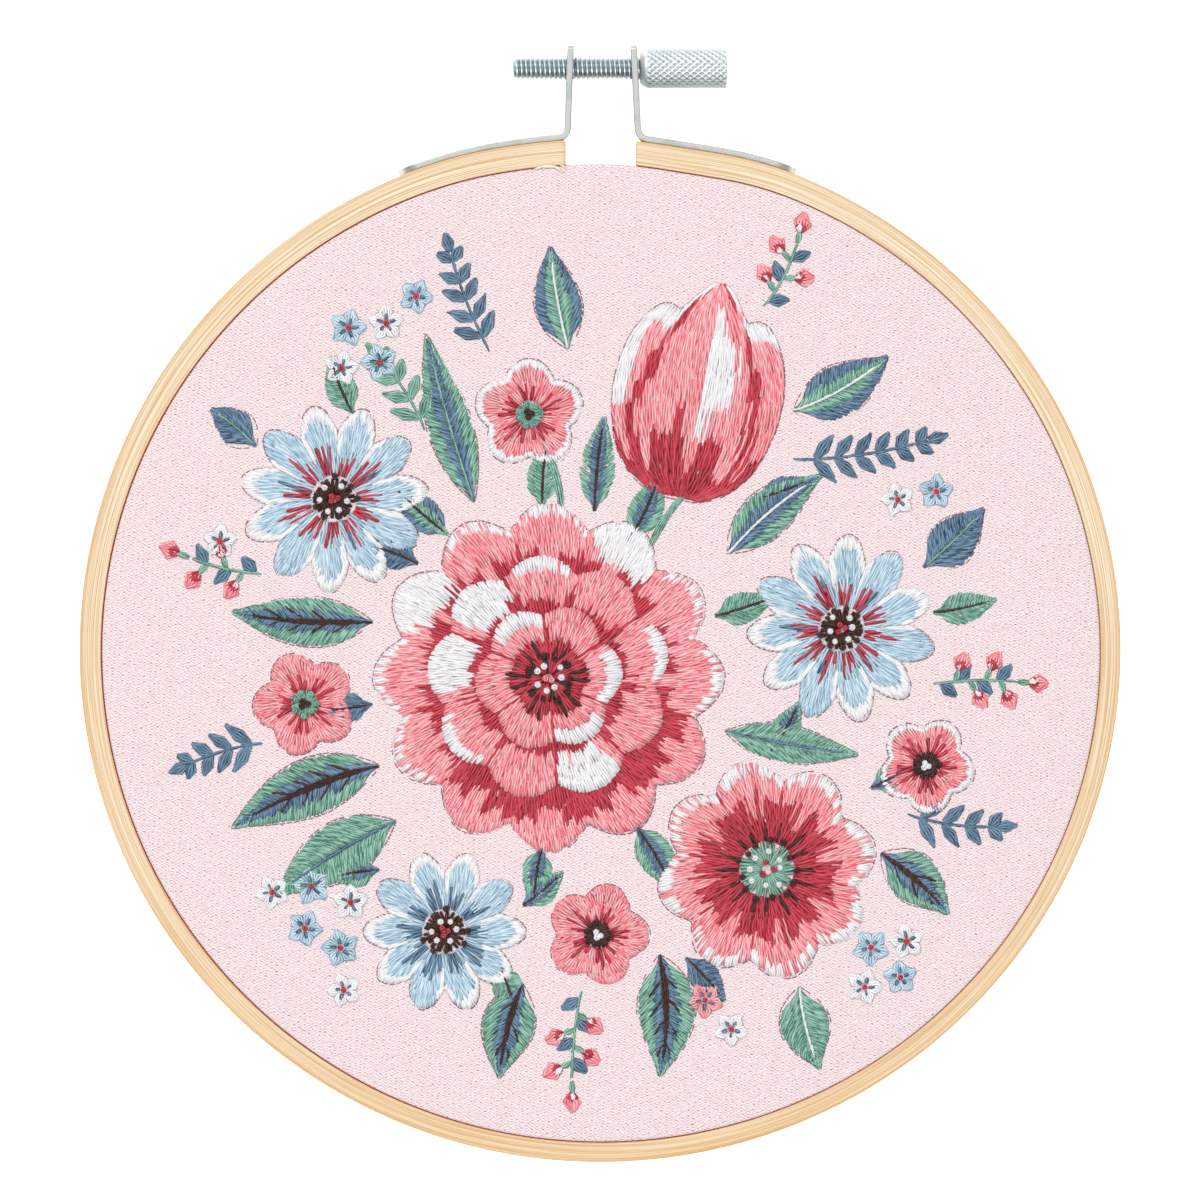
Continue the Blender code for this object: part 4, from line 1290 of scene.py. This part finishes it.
def sew_the_tulip():
    rng = np.random.default_rng(41)

    def rule(s, t):
        front = 0.66 * np.sqrt(np.clip(1 - t**3, 0, 1)) + 0.02
        beside = (np.abs(s) > front) & (np.abs(s) < front + 0.13)
        base = t < 0.2 - 0.08 * np.cos(9 * s)
        flame = (s > 0.04) & (s < 0.04 + 0.36 * np.sin(math.pi * np.clip((t - 0.28) / 0.66, 0, 1)))
        fold = (s < -0.1) & (s > -0.42) & (t < 0.58 + s)
        light = flame | ((np.abs(s) > front) & (t > 0.9)) | ((s < -0.86) & (t > 0.4))
        return np.select([base | beside | fold, light], [CRIMSON, WHITE], CORAL)

    point = tulip_point()
    stitches = fill(point, (0.0, 0.15, 0.3, 0.45, 0.6, 0.76, 0.92, 1.0), rule, rng, 0.14, 0.04)
    stitches.append(streaks(point, 7, (0.2, 0.42), CRIMSON, rng, 0.42, 0.6))
    sew("tulip_stitches", stitches, "coral_thread", "tulip")


sew_the_tulip()

# %% [markdown]
# ## Leaves
# Leaves are worked in fishbone stitch: each stitch runs from the midrib outwards and forwards to the
# edge. A large leaf takes two stitches across, slate near the midrib and green outside, or the other
# way round. A line of stem stitch covers the midrib.

# %% Leaves: base, heading, length, half width, bend, inner thread, outer thread, midrib thread
LEAVES = (
    (-19.5, 23, 106, 27, 3.4, -6, SLATE, GREEN, GREEN),
    (-35, 4.6, 176, 22, 3.8, -14, SLATE, GREEN, BROWN),
    (-34, -17.5, 203, 25, 4.4, 20, SLATE, GREEN, BROWN),
    (-31.5, -26, 212, 22, 4.4, 14, GREEN, GREEN, SLATE),
    (19.5, 15, 40, 19, 3.6, -20, SLATE, GREEN, WHITE),
    (-12, -51, 256, 15, 4, 18, SLATE, GREEN, BROWN),
    (9, -46.5, 270, 19, 4.4, -26, SLATE, GREEN, BROWN),
    (19, -12.2, 350, 21, 2.9, 6, GREEN, GREEN, SLATE),
    (30.5, -51.5, 284, 13, 3.8, 20, GREEN, GREEN, WHITE),
    (43, -31, 318, 14, 3.8, -20, SLATE, GREEN, BROWN),
    (29.5, 37, 30, 17, 4, 24, GREEN, SLATE, WHITE),
    (49.5, 13, 44, 13, 3.6, 12, SLATE, SLATE, GREEN),
    (-5, 46.5, 100, 16, 3.6, -10, GREEN, SLATE, WHITE),
    (-53, 31.5, 140, 9, 2.8, 14, SLATE, SLATE, GREEN),
)


def leaf_point(x, y, heading_deg, length, half_width, bend_deg):
    """A leaf as a function of s and t. The midrib's heading turns evenly by the bend, and the leaf
    reaches half its width times the sine of pi times t to the power 0.85 to each side."""
    fine = np.linspace(0, 1, 81)
    heading = np.radians(heading_deg + bend_deg * (fine - 0.5))
    step = length / 80 * circle(heading)
    midrib = np.concatenate([[[x, y]], (x, y) + np.cumsum((step[1:] + step[:-1]) / 2, axis=0)])

    def point(s, t):
        t = np.clip(t, 0, 1)
        turn = np.radians(heading_deg + bend_deg * (t - 0.5))
        reach = s * half_width * np.sin(math.pi * t**0.85)
        rib = np.stack([np.interp(t, fine, midrib[:, i]) for i in (0, 1)], axis=-1)
        return rib + reach[..., None] * left_of(circle(turn))

    return point


def fishbone(point, length, inner, outer, rng, lift=0.12, spacing=0.4, slant=4.2):
    """Both sides of a leaf: at a share q of a stitch it is q of the way out and slant mm further on.
    Each is moved a little, and the outer ends are uneven."""
    batches = []
    count = int(length / spacing)
    start = np.linspace(0.0, 0.93, count)[:, None] + rng.normal(0, 0.06 / length, (count, 1))
    slant = slant * rng.uniform(0.95, 1.05, (count, 1))
    for side in (-1, 1):
        meet = 0.5 + rng.uniform(-0.14, 0.14, (count, 1))
        edge = rng.uniform(0.96, 1.03, (count, 1))
        for low, high, thread, up in ((0 * meet, meet, inner, 0.03), (meet - 0.1, edge, outer, 0.0)):
            q = low + (high - low) * ALONG
            t = start + slant / length * q * (1 - 0.75 * start)  # less slant towards the tip
            batches.append(batch(point(side * q, t), thread, rng, lift + up))
    return batches


def stem_stitch(line, thread, rng, lift=0.26, long=2.3, half_width=0.2):
    """Short stitches that overlap along a line, each a little to one side at its start."""
    far = lengths_along(line)[-1]
    start = np.arange(0, max(far - long * 0.6, 0.1), long * 0.55)[:, None]
    paths = points_at(np.clip(start + long * ALONG, 0, far), line)
    heading = paths[:, -1] - paths[:, 0]
    heading /= np.linalg.norm(heading, axis=1)[:, None]
    aside = left_of(heading)[:, None] * (0.12 - 0.24 * ALONG)[:, None]
    return batch(paths + aside, thread, rng, lift, half_width)


def side_veins(point, length, thread, rng):
    """Single stitches from the midrib outwards and forwards, to about half of the leaf's width."""
    start = np.repeat(np.arange(0.16, 0.7, 3.4 / length), 2)[:, None]
    side = np.where(np.arange(len(start)) % 2, 1, -1)[:, None]
    q = rng.uniform(0.45, 0.68, start.shape) * ALONG
    return batch(point(side * q, start + 5.5 / length * q), thread, rng, 0.24, 0.2)


def sew_leaf(number, leaf):
    rng = np.random.default_rng(50 + number)
    *shape, inner, outer, rib = leaf
    point = leaf_point(*shape)
    stitches = fishbone(point, shape[3], inner, outer, rng)
    stitches.append(stem_stitch(point(np.zeros(40), np.linspace(0.0, 0.86, 40)), rib, rng))
    if rib == BROWN:
        along = np.linspace(0.0, 0.66, 30)
        for side in (-0.13, 0.13):
            stitches.append(stem_stitch(point(side * (1 - along), along), rib, rng, 0.22))
        stitches.append(side_veins(point, shape[3], rib, rng))
    slot = "slate_blue_thread" if outer == SLATE else "green_thread"
    sew(f"leaf_{number}_stitches", stitches, slot, f"leaf_{number}")


for number, leaf in enumerate(LEAVES, 1):
    sew_leaf(number, leaf)

# %% [markdown]
# ## Small leaves, sprigs and little flowers
# Between the large flowers go fern sprays, berries, bells and clusters of small five-petalled
# flowers. All their parts are the same shape at another size: a few stitches side by side from a base
# to a tip, bulging in the middle. So one function lays hundreds of them from a table.


# %% Small satin leaves
CURVE_POINTS = 40


def small_leaves(base, heading_deg, length, half_width, strands, thread, rng, lift=0.12):
    """Stitches from base to tip: at a share t of the length each lies its own share of the half width
    to the side, times the sine of pi times t, with the ends kept a little apart."""
    base = np.atleast_2d(base).astype(float)
    count = len(base)
    heading = np.radians(np.broadcast_to(heading_deg, count))
    length, half_width = np.broadcast_to(length, count), np.broadcast_to(half_width, count)
    t = ALONG
    s = np.linspace(-1, 1, strands)[None, :, None] * (1 - 0.5 / strands)
    reach = s * half_width[:, None, None] * (0.12 + 0.88 * np.sin(math.pi * t**0.9))
    uneven = rng.uniform(0.92, 1.04, (count, strands, 1))
    far = length[:, None, None] * (t * (1 - 0.12 * np.abs(s) ** 2)) * uneven
    forward = circle(heading)[:, None, None]
    paths = base[:, None, None] + forward * far[..., None] + left_of(forward) * reach[..., None]
    each = np.repeat(np.broadcast_to(thread, count), strands)
    return batch(paths.reshape(-1, len(ALONG), 2), each, rng, lift)


def curved(x, y, heading_deg, length, bend_deg):
    """A line of 40 points whose heading turns evenly by the bend, and each point's heading in
    degrees."""
    heading = heading_deg + bend_deg * (np.linspace(0, 1, CURVE_POINTS) - 0.5)
    step = length / (CURVE_POINTS - 1) * circle(np.radians(heading))
    return np.concatenate([[[x, y]], (x, y) + np.cumsum(step[1:], axis=0)]), heading


# %% Fern sprays and berry sprigs
FERNS = (  # x, y, heading, length, bend, pairs, thread
    (-17, 46, 112, 16.5, -14, 5, SLATE),
    (29.5, 29.5, 8, 21, 16, 6, SLATE),
    (-52, -14, 196, 12, 18, 4, SLATE),
    (47, -25, 352, 14, 20, 4, SLATE),
    (-27, 34, 122, 13, 20, 4, GREEN),
)
BERRIES = (  # x, y, heading, length, bend, berries
    (51, -5, 2, 13, -14, 5),
    (-3, -52, 264, 14, 12, 5),
    (-52, 12, 168, 11.5, -20, 4),
    (25, 53, 62, 11, 24, 4),
)


def sew_the_sprays():
    rng = np.random.default_rng(71)
    stitches = []
    for x, y, heading_deg, length, bend, pairs, thread in FERNS:
        line, heading = curved(x, y, heading_deg, length, bend)
        stitches.append(stem_stitch(line, thread, rng, 0.14))
        at = np.linspace(6, 36, pairs).astype(int)
        size = np.linspace(5.2, 3.0, pairs)
        for side in (-1, 1):
            stitches.append(small_leaves(line[at], heading[at] + side * 48, size, 0.85, 4, thread, rng))
        stitches.append(small_leaves(line[-1:], heading[-1:], 3.4, 0.85, 4, thread, rng))
    for x, y, heading_deg, length, bend, berries in BERRIES:
        line, heading = curved(x, y, heading_deg, length, bend)
        stitches.append(stem_stitch(line, GREEN, rng, 0.14))
        at = np.linspace(10, 39, berries).astype(int)
        side = np.where(np.arange(berries) % 2, -1, 1)
        side[-1] = 0
        stalk = np.radians(heading[at] + side * 62)
        tip = line[at] + 1.9 * circle(stalk)
        for foot, turn, size, half_width, strands, thread, lift in (  # stalk, berry, its shade, its light
            (line[at], 0, 2.2, 0.3, 2, GREEN, 0.12),
            (tip, 0, 3.2, 1.35, 6, CORAL, 0.16),
            (tip, 0, 1.7, 0.8, 4, CRIMSON, 0.28),
            (tip, 24, 1.5, 0.3, 2, WHITE, 0.3),
        ):
            way = np.degrees(stalk) + turn
            stitches.append(small_leaves(foot, way, size, half_width, strands, thread, rng, lift))
        leaf_at = np.linspace(4, 30, berries - 1).astype(int)
        other = np.where(np.arange(berries - 1) % 2, 1, -1)
        stitches.append(small_leaves(line[leaf_at], heading[leaf_at] + other * 50, 3.4, 0.9, 4, SLATE, rng))
    sew("sprigs_and_ferns", stitches, "slate_blue_thread")


sew_the_sprays()

# %% Little five-petalled flowers in clusters
CLUSTERS = (  # x, y, radius, petal thread
    (-44.5, -36, 3, LIGHT_BLUE), (-38.5, -38.5, 2.8, WHITE), (-45.5, -42.5, 2.8, LIGHT_BLUE),
    (-50.5, -37, 2.7, WHITE), (-40, -45.5, 3, LIGHT_BLUE), (-39.5, -52, 2.6, WHITE),
    (-34, 44.5, 2.9, LIGHT_BLUE), (-39.8, 43.6, 2.7, WHITE), (-33, 50.5, 2.8, WHITE),
    (-38.8, 49.8, 2.9, LIGHT_BLUE), (-28.4, 54.6, 2.6, LIGHT_BLUE),
    (41.5, -45.5, 2.9, LIGHT_BLUE), (47, -44.5, 2.7, WHITE), (40.5, -51.5, 2.8, WHITE),
    (46, -50, 2.6, LIGHT_BLUE), (16, -53.5, 2.8, CORAL), (20, -58, 2.6, WHITE),
    (51.5, 24.6, 2.7, LIGHT_BLUE), (45.6, 23.4, 2.6, WHITE), (-58.5, 17, 2.6, WHITE),
)


def sew_the_little_flowers():
    rng = np.random.default_rng(81)
    table = np.array(CLUSTERS)
    turn = rng.uniform(0, 72, len(table))
    base = np.repeat(table[:, :2], 5, axis=0)
    heading = (turn[:, None] + 72 * np.arange(5)).ravel()
    radius, thread = np.repeat(table[:, 2], 5), np.repeat(table[:, 3], 5).astype(int)
    start = base + 0.55 * circle(np.radians(heading))
    petals = small_leaves(start, heading, radius * 0.86, radius * 0.36, 5, thread, rng, 0.18)
    eyes = knots(table[:, :2], CRIMSON, rng, 0.3, 0.38)
    vein = small_leaves(start, heading, radius * 0.42, 0.1, 1, SLATE, rng, 0.3)
    sew("little_flowers", [petals, vein, eyes], "light_blue_thread")


sew_the_little_flowers()

# %% [markdown]
# Small leaves tucked under the dahlia and the other flowers close the gaps in the bunch. Two stems
# show: the tulip's, and a curved one to the primrose beside it.

# %% Tucked leaves and stems
TUCKED = (  # x, y, heading, length, half width, bend, inner, outer
    (4.5, 17.5, 66, 11, 2.7, 20, SLATE, GREEN),
    (-1, 21.5, 84, 15, 2.8, -8, SLATE, GREEN),
    (-9, 22, 86, 10.5, 2.5, -10, GREEN, GREEN),
    (-23.5, 18, 138, 12, 2.6, -10, GREEN, SLATE),
    (-28, 13.5, 160, 9, 2.5, 14, SLATE, SLATE),
    (-38, 36.5, 112, 9.5, 2.4, -16, GREEN, GREEN),
    (-34, -33.5, 190, 8, 2.4, 16, SLATE, GREEN),
    (26, -15.5, 60, 9, 2.4, 14, SLATE, GREEN),
    (51, 6, 12, 10, 2.5, 12, GREEN, GREEN),
    (24, 23.5, 20, 9, 2.3, 10, SLATE, SLATE),
    (-15.5, -48, 292, 9, 2.4, 10, GREEN, GREEN),
    (13, -47, 312, 9, 2.3, -12, SLATE, SLATE),
    (5.5, -27, 300, 11.5, 2.8, -14, SLATE, GREEN),
    (-9, -30, 262, 9, 2.4, 16, SLATE, GREEN),
    (17.5, 5.5, 18, 9.5, 2.5, 10, GREEN, GREEN),
    (-35, -8, 188, 7.5, 2.2, -8, SLATE, SLATE),
    (-12, -39, 40, 8, 2.2, 10, SLATE, GREEN),
    (41.5, -21, 30, 7, 2, 8, SLATE, GREEN),
)
STEMS = ((7.5, 16.0, 58.0, 9.5, -14.0, GREEN), (-6.0, 22.0, 104.0, 8.5, 20.0, GREEN))


def sew_the_tucked_leaves():
    rng = np.random.default_rng(91)
    stitches = []
    for *shape, inner, outer in TUCKED:
        point = leaf_point(*shape)
        stitches += fishbone(point, shape[3], inner, outer, rng, 0.05, 0.42, 2.8)
        stitches.append(stem_stitch(point(np.zeros(20), np.linspace(0, 0.86, 20)), BROWN, rng, 0.18))
    for x, y, heading_deg, length, bend, thread in STEMS:
        line = curved(x, y, heading_deg, length, bend)[0]
        for shift in (-0.35, 0.0, 0.35):
            stitches.append(stem_stitch(line + (shift, 0.1 * shift), thread, rng, 0.1, 3.0, 0.24))
    sew("tucked_leaves", stitches, "green_thread")


sew_the_tucked_leaves()

# %% [markdown]
# ## Printed guide line
# The design was stamped on the cloth in a plum ink, and a thin broken line of it still shows just
# outside the stitches. It is made as short flat dashes that lie on the cloth.


# %% Guide line
DASH_LENGTH, DASH_STEP, LEFT_OUT, INK_HALF_WIDTH, INK_HALF_HEIGHT = 0.9, 1.1, 0.15, 0.085, 0.02


def ink_material():
    """Textile ink soaked into cotton: no gloss, and uneven, as it sits on the weave's high spots."""
    material, tree, shader = new_material("plum stamping ink", 0.95)
    uneven = node(tree, "TexNoise", Vector=node(tree, "TexCoord").outputs["Object"], Scale=1 / (0.5 * MM))
    plug(tree, shader, Base_Color=node(tree, "Mix", RGBA, Factor=uneven, i6="#7C3B4C", i7="#C08D96"))
    return material


def outlines():
    """Closed lines about a tenth of a mm outside each flower and leaf."""
    turn = np.linspace(0, 2 * math.pi, 700)
    for x, y, radius, petals, notch, turn_deg in FLOWERS.values():
        reach = radius * (1 - notch * (1 - np.abs(np.cos(petals * turn / 2)))) + 0.08
        yield (x, y) + reach[:, None] * circle(turn + math.radians(turn_deg))
    t = np.linspace(0, 1, 90)
    for leaf in LEAVES:
        x, y, heading_deg, length, half_width, bend = leaf[:6]
        point = leaf_point(x, y, heading_deg, length, half_width + 0.16, bend)
        yield np.concatenate([point(np.ones(90), t), point(-np.ones(90), t[::-1])])
    s = np.concatenate([np.linspace(0, 1, 60), np.ones(90), -np.ones(90), np.linspace(-1, 0, 60)])
    up = np.concatenate([np.ones(60), np.linspace(1, 0, 90), t, np.ones(60)])
    yield (TULIP_X, TULIP_Y) + (tulip_point()(s, up) - (TULIP_X, TULIP_Y)) * 1.01


def stamp_the_guide_line():
    """Dashes at even steps, some left out, each a flat ellipse carried along three points."""
    rng = np.random.default_rng(5)
    dashes = []
    for line in outlines():
        start = np.arange(0, lengths_along(line)[-1] - DASH_STEP, DASH_STEP)
        start = start[rng.uniform(0, 1, len(start)) > LEFT_OUT][:, None]
        dashes.append(points_at(start + np.linspace(0, DASH_LENGTH, 3), line))
    plan = np.concatenate(dashes) + rng.normal(0, 0.03, (sum(len(d) for d in dashes), 1, 2))
    paths = raised(plan, np.full(plan.shape[:2], CLOTH_FACE + 0.03))
    print(len(paths), "dashes in", end=" ")
    flat = tubes_of(paths, INK_HALF_WIDTH, INK_HALF_HEIGHT, 0, 0)
    return make_piece("stamped_guide_line", twist(flat), [ink_material()])


hand_over(stamp_the_guide_line(), "hoop", "pink_cotton")

# %% [markdown]
# ## The back of the work
# On the back each thread goes from where one stitch ends to where the next one starts, so the back is
# a rougher, mirrored copy of the front. The same arrays give it: the last point of each stitch is
# joined to the first point of the next, unless that is a jump to another part of the flower. Threads
# cross here, so they lie at uneven heights. A few cut tails hang where a colour was finished off.


# %% Stitches on the back
JUMPS = (0.8, 9.0, 0.6)  # shortest, longest, and the share of them that is made
TAILS, TAIL_REACH, TAIL_TIP, INSIDE_THE_CLOTH = 60, 6, 7.2, 8.7


def sew_the_back():
    """Four points a stitch: in the cloth, under it, along it at its own height, and up again."""
    rng = np.random.default_rng(99)
    several = [b for b in sewn if len(b["paths"]) > 1]
    start = np.concatenate([b["paths"][:-1, -1, :2] for b in several])
    end = np.concatenate([b["paths"][1:, 0, :2] for b in several])
    colour = np.concatenate([b["thread"][1:] for b in several])
    length = np.linalg.norm(end - start, axis=1)
    shortest, longest, share_kept = JUMPS
    kept = (length > shortest) & (length < longest) & (rng.uniform(0, 1, len(length)) < share_kept)
    start, end, colour = start[kept], end[kept], colour[kept]
    tails = rng.choice(len(start), TAILS, replace=False)
    away = rng.uniform(-TAIL_REACH, TAIL_REACH, (TAILS, 2))
    start = np.concatenate([start, start[tails]]) + rng.normal(0, 0.12, (len(start) + TAILS, 2))
    end = np.concatenate([end, end[tails] + away]) + rng.normal(0, 0.12, (len(end) + TAILS, 2))
    share = np.array([0.0, 0.12, 0.88, 1.0])[:, None]
    plan = start[:, None] + (end - start)[:, None] * share
    under = CLOTH_FACE - CLOTH_THICKNESS - rng.uniform(0.08, 0.5, (len(plan), 1))
    inside = np.full(under.shape, INSIDE_THE_CLOTH)
    height = np.concatenate([inside, under, under, inside], axis=1)
    height[-TAILS:, -1] = TAIL_TIP
    colour = np.concatenate([colour, colour[tails]])
    back = tubes_of(raised(plan, height), 0.24, 0.17, colour, rng.beta(*UNEVEN_TONES, len(plan)))
    sew("stitches_on_the_back", [back], "crimson_thread", sides=3)


sew_the_back()

# %% [markdown]
# ## Sizes
# The box of the dressed model and its triangles are printed. The dressed model may not
# outgrow the part's box.

# %% Finish
visual_box = [[float(c) for c in corner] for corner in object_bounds()]
total = sum(triangles_of(o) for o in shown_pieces() if o.type == "MESH")
print("visual box in mm", [[round(c * 1000, 2) for c in p] for p in visual_box], "triangles", total)
